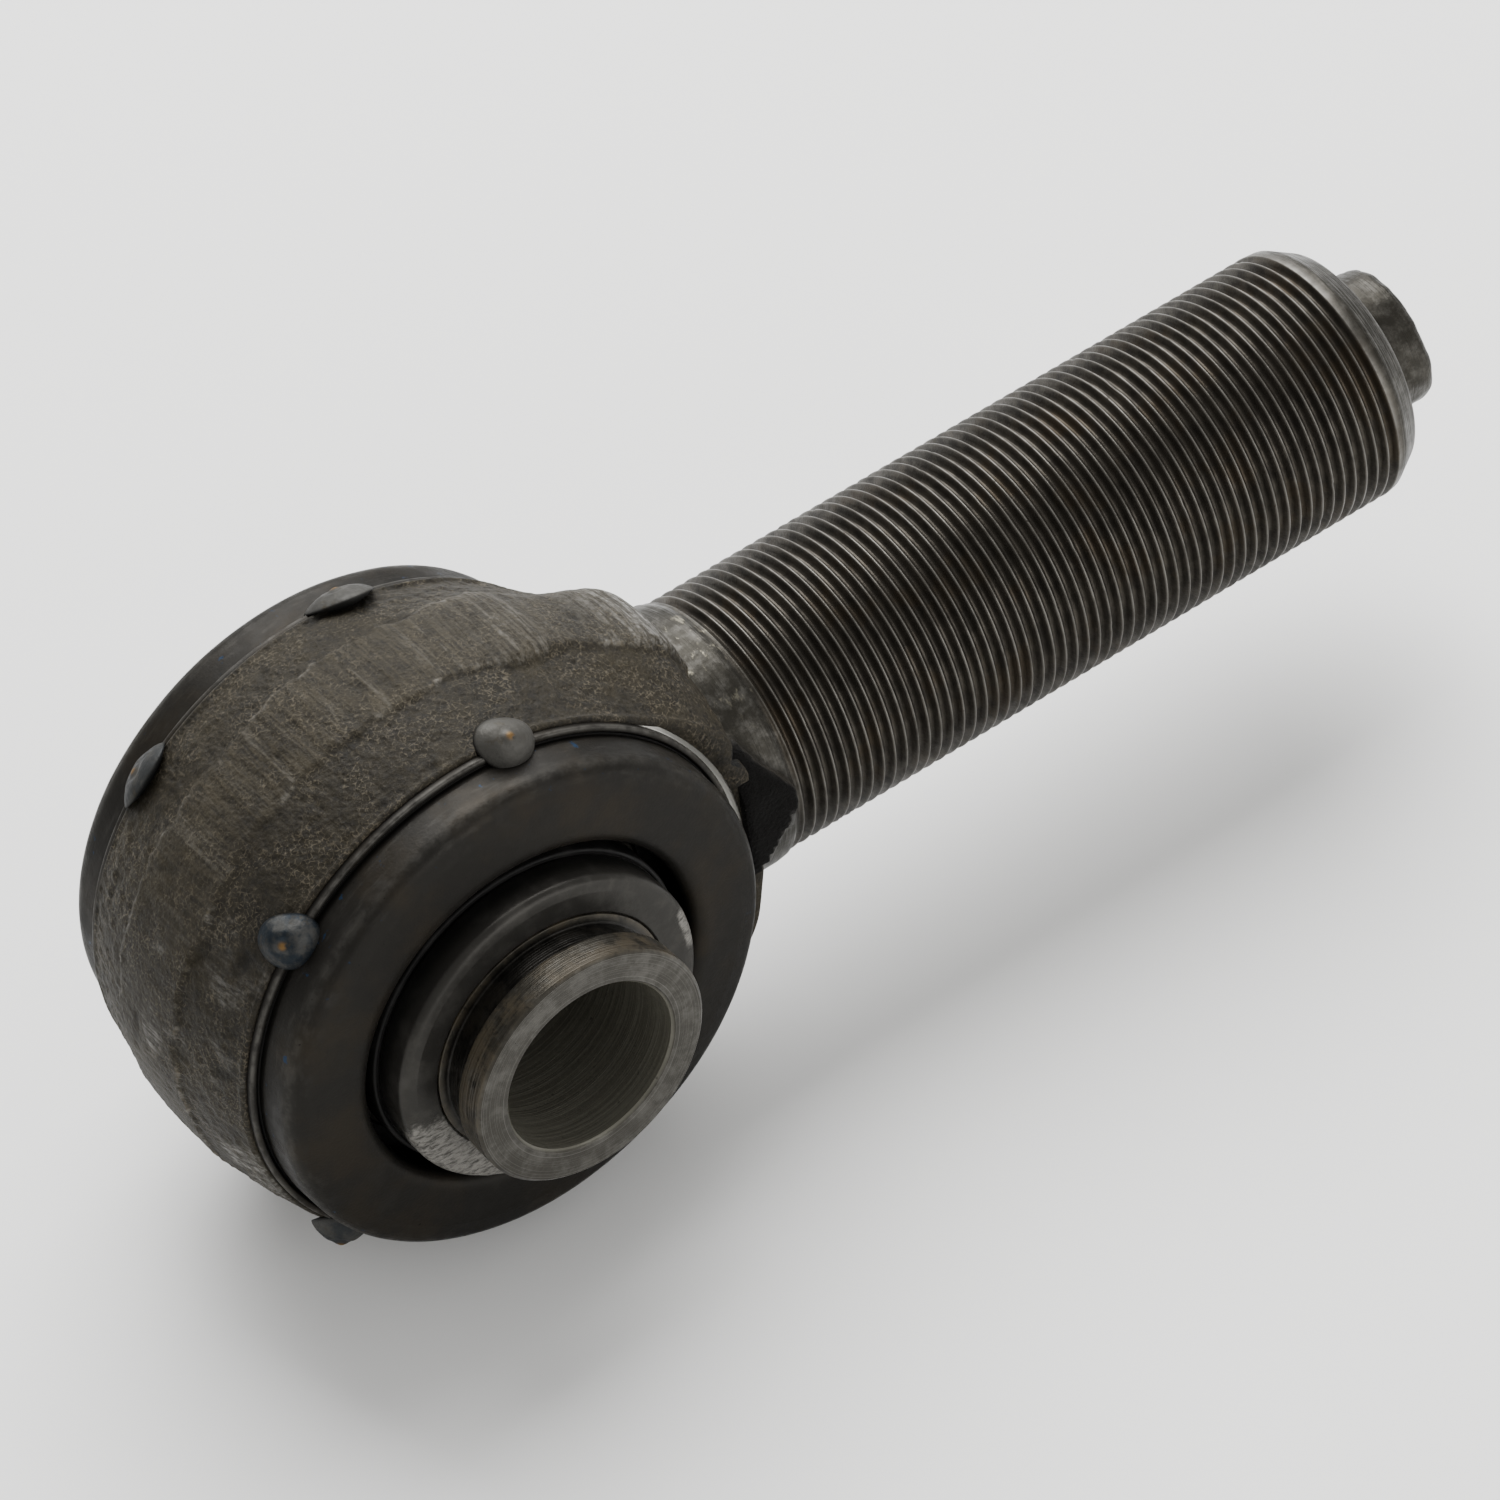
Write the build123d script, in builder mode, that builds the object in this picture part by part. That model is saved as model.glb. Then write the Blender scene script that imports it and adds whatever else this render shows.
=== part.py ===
from build123d import *
import os
from math import cos, pi, radians, sin, sqrt

# Rod end bearing with a welded-in spherical rubber and metal bush.
# Millimetres. The origin is the centre of the ball. The bore lies along Y, the shank along +X,
# and +Z is up. "near" pieces lie on the -Y side and "far" pieces mirror them on the +Y side.

# ---------------------------------------------------------------- driving dimensions
# inner sleeve
bore_r = 10.1            # clearance bore for an M20 bolt
sleeve_r = 14.0
sleeve_land = 3.5        # turned land at each end of the sleeve
sleeve_chamfer = 0.3
groove_length = 3.4      # relief groove between the land and the collar
groove_depth = 1.0
ball_r = 20.5

# bonded spherical layers round the ball, from the inside out
inner_rubber = 1.7
mid_shell = 1.0
outer_rubber = 1.7
layer_play = 0.08        # running clearance between layers that turn against each other
layer_step = 0.6         # each layer ends this much nearer the middle than the one inside it
half_gap = 0.7           # gap left between the two halves of each layer
ball_margin = 1.6        # the innermost layer stops this far short of the ball's shoulder

# eye of the forging
shell_wall = 2.86        # wall of the outer shells at their thinnest
eye_half = 13.8          # half the width between the machined faces
eye_wall = 5.2           # wall round the bore at the flash land
eye_edge_wall = 3.0      # wall left at the machined faces
flash_width = 10.0       # trimmed flash land round the parting line
flash_height = 0.3
spot_wall = 3.4          # the spot-facing cutter reaches this far past the bore

# shoulder, neck and threaded shank
shoulder_back = 3.7      # the shoulder rounds over this far inside the eye's outline
shoulder_rise = 7.3      # the shoulder stands this much above the neck
shoulder_flat = 0.4      # the shoulder's two flats lie this far inside the neck's outline
shoulder_round = 2.5
neck_inset = 0.2         # the turned neck starts this far inside the eye's outline
neck_length = 4.3
neck_land = 0.45         # the neck stands this much above the thread
thread_r = 14.85         # M30 x 1.5, major radius
thread_length = 81.5
tip_chamfer = 1.85
tip_chamfer_length = 3.0
nub_r = 7.8              # rough stub left by the forging tongs
nub_length = 6.8
nub_round = 2.6

# closing rings and what they press on
support_height = 1.6
support_wall = 5.0
ring_dish = 0.8          # the ring's face falls this much from its opening to its rim
ring_lip = 2.5           # reach of the lip past the bore
ring_lip_height = 0.8
ring_step = 1.0          # the lip stands out from the ring's wall by this much
ring_round = 2.5
ring_wall = 2.5          # thickness of the spigot and of the ring's side
ring_rim = 1.6           # thickness of the rim round the opening
spigot_depth = 0.6

# collars and seals on the sleeve
collar_wall = 4.3
collar_proud = 2.8       # the collar stands out of the closing ring by this much
collar_sunk = 1.8        # and starts this far behind the ring's opening
collar_round = 0.8
seal_lip = 0.7           # the seal is this much larger than the collar
seal_back = 1.2          # free sleeve between the ball and the seal
seal_height = 3.2

# travel: the sleeve tilts this far about X and about Z at once
tilt_deg = 3.0
tilt_play = 0.38

# tack welds, as angles round the bore axis measured from the shank; none sits by the neck
near_beads = (80.0, 137.0, -137.0, -80.0)
far_beads = (81.5, 133.0, -133.0, -81.5)
bead_r = 3.7
bead_sink = 0.4          # the bead's centre lies this far under the eye's face
bead_inset = 0.5         # and this far inside the lip's edge

# ---------------------------------------------------------------- derived sizes
ball_half = sqrt(ball_r**2 - sleeve_r**2)
inner_edge = ball_half - ball_margin
mid_edge = inner_edge - layer_step
outer_edge = mid_edge - layer_step

mid_in_r = ball_r + inner_rubber + layer_play
outer_in_r = mid_in_r + mid_shell + layer_play
seat_r = outer_in_r + outer_rubber + layer_play

eye_bore_r = seat_r + shell_wall
eye_r = eye_bore_r + eye_wall
skin_r = eye_r - flash_height
eye_edge_r = eye_bore_r + eye_edge_wall
spot_r = eye_bore_r + spot_wall

support_y = eye_half - spigot_depth
shell_y = support_y - support_height

collar_back = ball_half + seal_back + seal_height
ring_top = collar_back + collar_sunk
ring_lip_r = eye_bore_r + ring_lip
ring_body_r = ring_lip_r - ring_step
ring_in_r = eye_bore_r - ring_wall
bead_reach = ring_lip_r - bead_inset
worst_tilt = radians(tilt_deg * sqrt(2))
collar_r = sleeve_r + collar_wall
ring_open_r = collar_r * cos(worst_tilt) + ring_top * sin(worst_tilt) + tilt_play

collar_front = ring_top + collar_proud
land_y = collar_front + groove_length
sleeve_half = land_y + sleeve_land

shoulder_x = eye_r - shoulder_back
neck_x = eye_r - neck_inset
neck_r = thread_r + neck_land
shoulder_r = neck_r + shoulder_rise
shoulder_half = neck_r - shoulder_flat
thread_x = neck_x + neck_length
thread_end = thread_x + thread_length
tip_x = thread_end + tip_chamfer_length

os.makedirs("parts", exist_ok=True)


def save(piece, name):
    """Label a finished piece and write it under that name."""
    piece.label = name
    export_step(piece, f"parts/{name}.step")


def save_pair(near_piece, name):
    """Write the near piece and its mirror image across the middle plane."""
    save(near_piece, f"{name}_near")
    save(near_piece.mirror(Plane.XZ), f"{name}_far")


def half_layer(inner, outer, edge):
    """Near half of a spherical layer: a zone between two spheres, cut at its edge plane."""
    with BuildPart() as layer:
        Sphere(outer)
        Sphere(inner, mode=Mode.SUBTRACT)
        with Locations((0, -edge / 2 - half_gap / 4, 0)):
            Box(2.2 * outer, edge - half_gap / 2, 2.2 * outer, mode=Mode.INTERSECT)
    return layer.part


# ---------------------------------------------------------------- forging
with BuildPart() as rod_head:
    # barrel of the eye, with the flash land round its middle
    with BuildSketch(Plane.XY):
        with BuildLine():
            land = flash_width / 2
            side_r = (skin_r + eye_edge_r) / 2 + 0.45
            side_y = (land + eye_half) / 2
            Polyline((0, eye_half), (eye_edge_r, eye_half))
            ThreePointArc((eye_edge_r, eye_half), (side_r, side_y), (skin_r, land + flash_height))
            Polyline((skin_r, land + flash_height), (eye_r, land), (eye_r, -land),
                     (skin_r, -land - flash_height))
            ThreePointArc((skin_r, -land - flash_height), (side_r, -side_y), (eye_edge_r, -eye_half))
            Polyline((eye_edge_r, -eye_half), (0, -eye_half), (0, eye_half))
        make_face()
    revolve(axis=Axis.Y)

# shoulder between the eye and the neck, flattened across its two sides
with BuildPart() as shoulder:
    with BuildSketch(Plane.XY):
        with BuildLine():
            Polyline((0, 0), (0, eye_r - 2), (shoulder_x - 9, shoulder_r + 5), (shoulder_x, shoulder_r),
                     (neck_x - 0.6, neck_r + 2.2), (neck_x, neck_r), (neck_x, 0), (0, 0))
        make_face()
    revolve(axis=Axis.X)
    Box(4 * eye_r, 2 * shoulder_half, 4 * eye_r, mode=Mode.INTERSECT)
    flats = shoulder.faces().filter_by(Axis.Y)
    fillet(flats.edges().filter_by(lambda e: e.center().X > eye_bore_r), shoulder_round)

# turned neck, threaded shank and the stub on its end
with BuildPart() as shank:
    with BuildSketch(Plane.XY):
        with BuildLine():
            nub_x = tip_x + nub_length
            nub_mid = nub_round * (1 - sqrt(0.5))
            Polyline((eye_bore_r + 1, 0), (eye_bore_r + 1, neck_r), (thread_x - neck_land, neck_r),
                     (thread_x, thread_r), (thread_end, thread_r), (tip_x, thread_r - tip_chamfer),
                     (tip_x, nub_r), (nub_x - nub_round, nub_r))
            ThreePointArc((nub_x - nub_round, nub_r), (nub_x - nub_mid, nub_r - nub_mid),
                          (nub_x, nub_r - nub_round))
            Polyline((nub_x, nub_r - nub_round), (nub_x, 0), (eye_bore_r + 1, 0))
        make_face()
    revolve(axis=Axis.X)

with rod_head:
    add(shoulder.part)
    add(shank.part)
    Cylinder(eye_bore_r, 4 * eye_half, rotation=(90, 0, 0), mode=Mode.SUBTRACT)
    for side in (-1, 1):
        with Locations((0, side * (eye_half + shoulder_half), 0)):
            Cylinder(spot_r, 2 * shoulder_half, rotation=(90, 0, 0), mode=Mode.SUBTRACT)
save(rod_head.part, "rod_head")

# ---------------------------------------------------------------- closing rings
with BuildPart() as closing_ring:
    with BuildSketch(Plane.XY):
        with BuildLine():
            rim_y = ring_top - ring_dish
            bend = ring_round * (1 - sqrt(0.5))
            Polyline((ring_in_r, -support_y), (eye_bore_r, -support_y), (eye_bore_r, -eye_half),
                     (ring_lip_r, -eye_half), (ring_lip_r, -eye_half - ring_lip_height),
                     (ring_body_r, -eye_half - ring_lip_height), (ring_body_r, -rim_y + ring_round))
            ThreePointArc((ring_body_r, -rim_y + ring_round), (ring_body_r - bend, -rim_y + bend),
                          (ring_body_r - ring_round, -rim_y))
            Polyline((ring_body_r - ring_round, -rim_y), (ring_open_r + 0.6, -ring_top),
                     (ring_open_r, -ring_top + 0.6), (ring_open_r, -ring_top + ring_rim),
                     (ring_in_r - 0.5, -rim_y + ring_wall + 0.6), (ring_in_r, -rim_y + ring_wall + 1.1),
                     (ring_in_r, -support_y))
        make_face()
    revolve(axis=Axis.Y)
save_pair(closing_ring.part, "closing_ring")

# rings that press on the outer shells, behind the closing rings
with BuildPart() as support_ring:
    with BuildSketch(Plane.XZ.offset(shell_y)):
        Circle(eye_bore_r)
        Circle(eye_bore_r - support_wall, mode=Mode.SUBTRACT)
    extrude(amount=support_height)
save_pair(support_ring.part, "support_ring")

# tack welds laid over the joint between the eye and the ring
def tack_welds(angles):
    """Beads on the near side, each the part of a ball that shows over the eye and the ring."""
    with BuildPart() as beads:
        for angle in angles:
            turn = radians(angle)
            with Locations((bead_reach * cos(turn), bead_sink - eye_half, bead_reach * sin(turn))):
                Sphere(bead_r)
        add(rod_head.part, mode=Mode.SUBTRACT)
        add(closing_ring.part, mode=Mode.SUBTRACT)
        Cylinder(ring_body_r, 6 * eye_half, rotation=(90, 0, 0), mode=Mode.SUBTRACT)
    return beads.part


save(tack_welds(near_beads), "weld_beads_near")
save(tack_welds(far_beads).mirror(Plane.XZ), "weld_beads_far")

# ---------------------------------------------------------------- spherical layers
with BuildPart() as outer_shell:
    with Locations((0, -shell_y / 2 - half_gap / 4, 0)):
        Cylinder(eye_bore_r, shell_y - half_gap / 2, rotation=(90, 0, 0))
    Sphere(seat_r, mode=Mode.SUBTRACT)
save_pair(outer_shell.part, "outer_shell")

save_pair(half_layer(outer_in_r, outer_in_r + outer_rubber, outer_edge), "outer_rubber")
save_pair(half_layer(mid_in_r, mid_in_r + mid_shell, mid_edge), "mid_shell")
save_pair(half_layer(ball_r, ball_r + inner_rubber, inner_edge), "inner_rubber")

# ---------------------------------------------------------------- ball, collars and seals
with BuildPart() as ball_sleeve:
    with BuildSketch(Plane.XY):
        with BuildLine() as sleeve_half_outline:
            groove_r = sleeve_r - groove_depth
            Polyline((bore_r, 0), (bore_r, sleeve_half - sleeve_chamfer),
                     (bore_r + sleeve_chamfer, sleeve_half), (sleeve_r - sleeve_chamfer, sleeve_half),
                     (sleeve_r, sleeve_half - sleeve_chamfer), (sleeve_r, land_y), (groove_r, land_y),
                     (groove_r, collar_front + groove_depth), (sleeve_r, collar_front),
                     (sleeve_r, ball_half))
            ThreePointArc((sleeve_r, ball_half),
                          (ball_r * cos(pi / 8), ball_r * sin(pi / 8)), (ball_r, 0))
            mirror(sleeve_half_outline.line, about=Plane.XZ)
        make_face()
    revolve(axis=Axis.Y)
save(ball_sleeve.part, "ball_sleeve")

with BuildPart() as collar:
    with BuildSketch(Plane.XZ.offset(collar_back)):
        Circle(collar_r)
        Circle(sleeve_r, mode=Mode.SUBTRACT)
    extrude(amount=collar_front - collar_back)
    rims = collar.edges().filter_by(GeomType.CIRCLE).filter_by(lambda e: e.radius > sleeve_r + 0.1)
    fillet(rims.sort_by(Axis.Y)[0], collar_round)
save_pair(collar.part, "collar")

with BuildPart() as seal:
    with BuildSketch(Plane.XZ.offset(ball_half + seal_back)):
        Circle(collar_r + seal_lip)
        Circle(sleeve_r, mode=Mode.SUBTRACT)
    extrude(amount=seal_height)
save_pair(seal.part, "seal")
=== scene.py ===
"""Rod end bearing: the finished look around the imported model.

Laid out as an add-on and run as a script. Sizes inside the functions are in millimetres; make_piece()
turns them into metres. X runs along the threaded shank, Y is the bore's axis and Z is up. The side of
the eye towards -Y is called near and the other one far.
"""

import math

import bpy
import numpy as np
from mathutils import Matrix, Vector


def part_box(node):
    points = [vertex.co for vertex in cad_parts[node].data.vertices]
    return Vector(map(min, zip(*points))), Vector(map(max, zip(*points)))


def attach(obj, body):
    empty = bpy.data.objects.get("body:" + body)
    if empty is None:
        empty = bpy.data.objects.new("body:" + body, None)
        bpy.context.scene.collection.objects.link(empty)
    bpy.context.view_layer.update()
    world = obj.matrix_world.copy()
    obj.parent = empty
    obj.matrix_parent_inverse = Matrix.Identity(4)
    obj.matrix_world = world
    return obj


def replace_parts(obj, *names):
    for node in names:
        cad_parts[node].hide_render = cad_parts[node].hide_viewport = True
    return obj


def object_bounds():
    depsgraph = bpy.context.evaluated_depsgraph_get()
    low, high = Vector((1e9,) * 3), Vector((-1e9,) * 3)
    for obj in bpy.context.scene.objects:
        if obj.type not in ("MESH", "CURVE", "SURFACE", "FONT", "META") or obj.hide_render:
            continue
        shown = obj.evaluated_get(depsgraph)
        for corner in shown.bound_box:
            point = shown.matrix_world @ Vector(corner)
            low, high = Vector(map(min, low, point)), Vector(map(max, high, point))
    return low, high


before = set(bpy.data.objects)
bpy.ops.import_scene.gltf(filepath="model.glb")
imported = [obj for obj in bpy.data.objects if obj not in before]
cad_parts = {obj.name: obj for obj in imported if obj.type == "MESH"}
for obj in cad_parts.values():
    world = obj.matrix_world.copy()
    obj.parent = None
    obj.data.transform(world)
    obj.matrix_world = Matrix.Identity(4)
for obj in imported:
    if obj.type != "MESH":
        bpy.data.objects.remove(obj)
CAD_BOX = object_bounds()

bl_info = {
    "name": "Rod end bearing",
    "version": (1, 0, 0),
    "blender": (4, 5, 0),
    "location": "3D View > Sidebar > Rod end",
    "description": "Builds the forged rod end, its rubber bush and a small studio",
    "category": "Add Mesh",
}

MM = 0.001
TURN = 2 * math.pi


def near_reach(node):
    """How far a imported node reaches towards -Y, in metres."""
    return -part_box(node)[0][1]


def far_right(node):
    """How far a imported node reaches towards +X, in metres."""
    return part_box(node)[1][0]


# ---------------------------------------------------------------- settings

def length(name, description, default):
    """A length setting in metres."""
    return bpy.props.FloatProperty(name=name, description=description, default=default,
                                   unit="LENGTH", precision=5)


def colour(name, description, default):
    """A colour setting, linear red, green and blue."""
    return bpy.props.FloatVectorProperty(name=name, description=description, default=default,
                                         subtype="COLOR", size=3, min=0.0, max=1.0)


class EyeSizes(bpy.types.PropertyGroup):
    """Sizes of the forged eye and its shoulder."""
    skin_radius: length("Skin radius", "Barrel of the eye at its middle", 0.0329)
    edge_radius: length("Edge radius", "Barrel of the eye at its two faces", 0.0310)
    bore_radius: length("Bore radius", "Hole that holds the bush", 0.0280)
    half_width: length("Half width", "Middle of the eye to its face", 0.0138)
    shoulder_half_width: length("Shoulder half width", "Middle to the shoulder's cheek", 0.0149)
    shoulder_end: length("Shoulder end", "Bore axis to the end of the shoulder", 0.0330)
    neck_radius: length("Neck radius", "Turned neck behind the shoulder", 0.0153)
    land_near: length("Land near edge", "Trimmed flash land, edge on the near side", 0.0041)
    land_far: length("Land far edge", "Trimmed flash land, edge on the far side", 0.0062)
    land_height: length("Land height", "How far the flash land stands up", 0.00036)
    skin_roughness: length("Skin roughness", "Depth of the forged skin's grain", 0.00011)


class ShankSizes(bpy.types.PropertyGroup):
    """Sizes of the threaded shank and the stub on its end."""
    thread_radius: length("Thread radius", "Outside of the thread", 0.01485)
    pitch: length("Pitch", "Thread pitch", 0.0015)
    thread_depth: length("Thread depth", "Crest to root", 0.00086)
    first_crest: length("First crest", "Where a crest crosses the far side", 0.03779)
    thread_start: length("Thread start", "Where the thread reaches full depth", 0.0385)
    thread_end: length("Thread end", "Where the chamfer begins", 0.1188)
    tip: length("Tip", "End face of the shank", 0.1218)
    tip_radius: length("Tip radius", "Shank's end face", 0.0130)
    stub_radius: length("Stub radius", "Rough stub on the end face", 0.0084)
    stub_end: length("Stub end", "End of the stub", far_right("rod_head"))


class BushSizes(bpy.types.PropertyGroup):
    """Sizes of the closing rings, collars and sleeve."""
    lip_radius: length("Lip radius", "Outer edge of the closing ring's lip", 0.0305)
    ring_radius: length("Ring radius", "Wall of the closing ring", 0.0295)
    ring_reach: length("Ring reach", "Middle to the ring's opening",
                       near_reach("closing_ring_near"))
    opening_radius: length("Opening radius", "Opening of the closing ring", 0.0200)
    collar_radius: length("Collar radius", "Outside of the collar", 0.0183)
    collar_reach: length("Collar reach", "Middle to the collar's front", near_reach("collar_near"))
    collar_height: length("Collar height", "Collar along the bore's axis", 0.0046)
    sleeve_radius: length("Sleeve radius", "Outside of the sleeve's land", 0.0140)
    sleeve_reach: length("Sleeve reach", "Middle to the sleeve's end face",
                         near_reach("ball_sleeve"))
    bore_radius: length("Bore radius", "Hole through the sleeve", 0.0101)
    ball_radius: length("Ball radius", "Ball in the middle of the sleeve", 0.0205)
    bead_radius: length("Bead radius", "Tack weld, half its width", 0.0032)
    bead_height: length("Bead height", "Tack weld over the joint", 0.0023)


class FinishColours(bpy.types.PropertyGroup):
    """Colours of the finishes."""
    scale: colour("Forging scale", "Brown-grey skin of the forging", (0.0180, 0.0152, 0.0100))
    scale_dark: colour("Dark scale", "Darker blotches of the skin", (0.0068, 0.0060, 0.0050))
    fleck: colour("Fleck", "Cream flecks in the skin", (0.100, 0.085, 0.060))
    bare: colour("Bare steel", "Metal where the skin is gone", (0.150, 0.144, 0.131))
    temper_blue: colour("Temper blue", "Heat tint near the welds", (0.0105, 0.0195, 0.0310))
    ring: colour("Ring steel", "Oiled pressed steel", (0.0140, 0.0131, 0.0116))
    ring_brown: colour("Ring stain", "Brown streaks on the ring", (0.0185, 0.0158, 0.0122))
    collar: colour("Collar steel", "Dark collar", (0.0270, 0.0256, 0.0230))
    sleeve: colour("Sleeve steel", "Turned sleeve", (0.032, 0.0298, 0.0247))
    sleeve_stain: colour("Sleeve stain", "Yellow-brown film on the sleeve", (0.046, 0.038, 0.0255))
    weld: colour("Weld metal", "Grey weld bead", (0.054, 0.052, 0.047))
    slag: colour("Slag", "Rust-coloured spot on the bead", (0.13, 0.075, 0.026))
    thread: colour("Thread steel", "Rolled thread", (0.050, 0.0445, 0.0365))
    thread_grime: colour("Thread grime", "Dark film in the thread", (0.0090, 0.0080, 0.0066))
    rubber: colour("Rubber", "Moulded rubber", (0.0060, 0.0058, 0.0055))


class StudioSettings(bpy.types.PropertyGroup):
    """Floor and light of the small studio."""
    floor_colour: colour("Floor", "Pale floor", (0.86, 0.86, 0.85))
    floor_size: length("Floor size", "Side of the floor", 6.0)
    key_power: bpy.props.FloatProperty(name="Overhead light", default=48.0, min=0.0,
                                       description="Power of the soft light above", unit="POWER")
    fill_power: bpy.props.FloatProperty(name="Fill light", default=9.0, min=0.0,
                                        description="Power of the soft light at the front",
                                        unit="POWER")
    world_level: bpy.props.FloatProperty(name="Surroundings", default=0.70, min=0.0,
                                         description="Brightness of the white surroundings")


def mm(metres):
    """A setting in metres as millimetres."""
    return metres / MM


# ---------------------------------------------------------------- noise and curves

def hashed(i, j, k, seed):
    """A repeatable number from 0 to 1 for every whole-number corner (i, j, k) of a lattice."""
    mixed = i * 73856093 ^ j * 19349663 ^ k * 83492791 ^ seed * 29996224
    mixed = (mixed ^ (mixed >> 15)) * 668265263
    return ((mixed ^ (mixed >> 13)) & 0xFFFF) / 65535.0


def lattice_noise(points, cell, seed):
    """Smooth noise from 0 to 1: the hashed corners of each cube of side cell, blended by
    t*t*(3-2t) along the three axes. cell may be one number or one for each axis."""
    scaled = np.asarray(points, float) / cell
    corner = np.floor(scaled).astype(np.int64)
    part = scaled - corner
    part = part * part * (3 - 2 * part)
    total = 0.0
    for i, j, k in np.ndindex(2, 2, 2):
        weight = ((part[..., 0] if i else 1 - part[..., 0])
                  * (part[..., 1] if j else 1 - part[..., 1])
                  * (part[..., 2] if k else 1 - part[..., 2]))
        total = total + weight * hashed(corner[..., 0] + i, corner[..., 1] + j,
                                        corner[..., 2] + k, seed)
    return total


def rough_noise(points, cell, seed, octaves=3):
    """Noise from about -1 to 1: octaves of lattice noise, each half the size and half the height
    of the one before, brought to -1..1 and made 1.6 times as strong."""
    total, height, reach = 0.0, 1.0, 0.0
    for octave in range(octaves):
        total = total + height * (2 * lattice_noise(points, np.asarray(cell) / 2 ** octave,
                                                    seed + 17 * octave) - 1)
        reach += height
        height *= 0.5
    return total / reach * 1.6


def joined(x, y, z):
    """Points from three arrays, each spread out to the same shape."""
    return np.stack(np.broadcast_arrays(x, y, z), axis=-1)


def step(low, high, value):
    """0 below low, 1 above high, and t*t*(3-2t) between."""
    part = np.clip((value - low) / (high - low), 0, 1)
    return part * part * (3 - 2 * part)


def rounded_path(corners, closed=False, steps=6):
    """Points along straight runs with rounded corners. A corner is (u, v, radius): the arc of that
    radius touches both runs, so it starts radius / tan(half the angle) before the corner."""
    points = []
    count = len(corners)
    for index, (u, v, radius) in enumerate(corners):
        here = np.array((u, v), float)
        ends = not closed and index in (0, count - 1)
        if radius <= 0 or ends:
            points.append(here[None])
            continue
        back = np.array(corners[index - 1][:2], float) - here
        ahead = np.array(corners[(index + 1) % count][:2], float) - here
        back /= np.linalg.norm(back)
        ahead /= np.linalg.norm(ahead)
        half = math.acos(np.clip(back @ ahead, -1, 1)) / 2
        middle = (back + ahead) / np.linalg.norm(back + ahead)
        centre = here + middle * radius / math.sin(half)
        start = here + back * radius / math.tan(half) - centre
        finish = here + ahead * radius / math.tan(half) - centre
        sweep = math.pi - 2 * half
        part = np.linspace(0, 1, steps + 1)[:, None]
        points.append(centre + (np.sin((1 - part) * sweep) * start
                                + np.sin(part * sweep) * finish) / math.sin(sweep))
    return np.concatenate(points)


def evenly(points, longest, closed=False):
    """The same path with extra points, so that no run is longer than longest."""
    after = np.roll(points, -1, axis=0) if closed else points[1:]
    before = points if closed else points[:-1]
    runs = []
    for start, finish in zip(before, after):
        parts = max(1, math.ceil(np.linalg.norm(finish - start) / longest))
        runs.append(start + (finish - start) * np.arange(parts)[:, None] / parts)
    if not closed:
        runs.append(points[-1:])
    return np.concatenate(runs)


def around(count):
    """Angles of a full turn, the last one short of the first."""
    return np.arange(count) * TURN / count


def turned(profile, count):
    """Profile (radius, y) carried round the bore's axis: point = (r cos a, y, r sin a)."""
    angle = around(count)[:, None]
    radius, y = profile[:, 0], profile[:, 1]
    return joined(radius * np.cos(angle), y, radius * np.sin(angle))


# ---------------------------------------------------------------- meshes

def grid_faces(rows, columns, wrap_rows, wrap_columns, first=0):
    """Four-sided faces of a grid of rows x columns points, numbered row by row from first."""
    row = np.arange(rows if wrap_rows else rows - 1)[:, None]
    column = np.arange(columns if wrap_columns else columns - 1)[None]
    row_after = (row + 1) % rows
    column_after = (column + 1) % columns
    corners = [row * columns + column, row * columns + column_after,
               row_after * columns + column_after, row_after * columns + column]
    return first + np.stack(np.broadcast_arrays(*corners), axis=-1).reshape(-1, 4)


def fan_faces(centre, ring):
    """Triangles from one point to every side of a closed ring of points."""
    ring = np.asarray(ring)
    return np.stack([np.full(len(ring), centre), ring, np.roll(ring, -1)], axis=-1)


def enclosed(points, faces):
    """Volume inside closed faces: the sum of the tetrahedra from the origin, below 0 when the
    faces point inwards."""
    total = 0.0
    for sides in faces:
        for corner in range(1, sides.shape[1] - 1):
            a, b, c = points[sides[:, 0]], points[sides[:, corner]], points[sides[:, corner + 1]]
            total += np.einsum("ij,ij->i", a, np.cross(b, c)).sum() / 6
    return total


def make_piece(name, body, material, points, faces, channels=None, sharp=None):
    """One mesh object at the origin from points in mm and arrays of faces. The faces are turned
    over where they enclose less than nothing, so they point outwards. channels are numbers kept
    on the points for the material. Edges steeper than sharp degrees stay sharp, if it is given."""
    points = np.asarray(points, float).reshape(-1, 3)
    if enclosed(points, faces) < 0:
        faces = [sides[:, ::-1] for sides in faces]
    mesh = bpy.data.meshes.new(name)
    mesh.from_pydata(points * MM, [], [side for sides in faces for side in sides.tolist()])
    for channel, values in (channels or {}).items():
        attribute = mesh.attributes.new(channel, "FLOAT", "POINT")
        values = np.broadcast_to(values, len(points)).astype(np.float32)
        attribute.data.foreach_set("value", values)
    mesh.validate()
    mesh.shade_smooth()
    if sharp:
        mesh.set_sharp_from_angle(angle=math.radians(sharp))
    mesh.materials.append(material)
    piece = bpy.data.objects.new(name, mesh)
    bpy.context.scene.collection.objects.link(piece)
    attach(piece, body)
    return piece


# ---------------------------------------------------------------- materials

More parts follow.
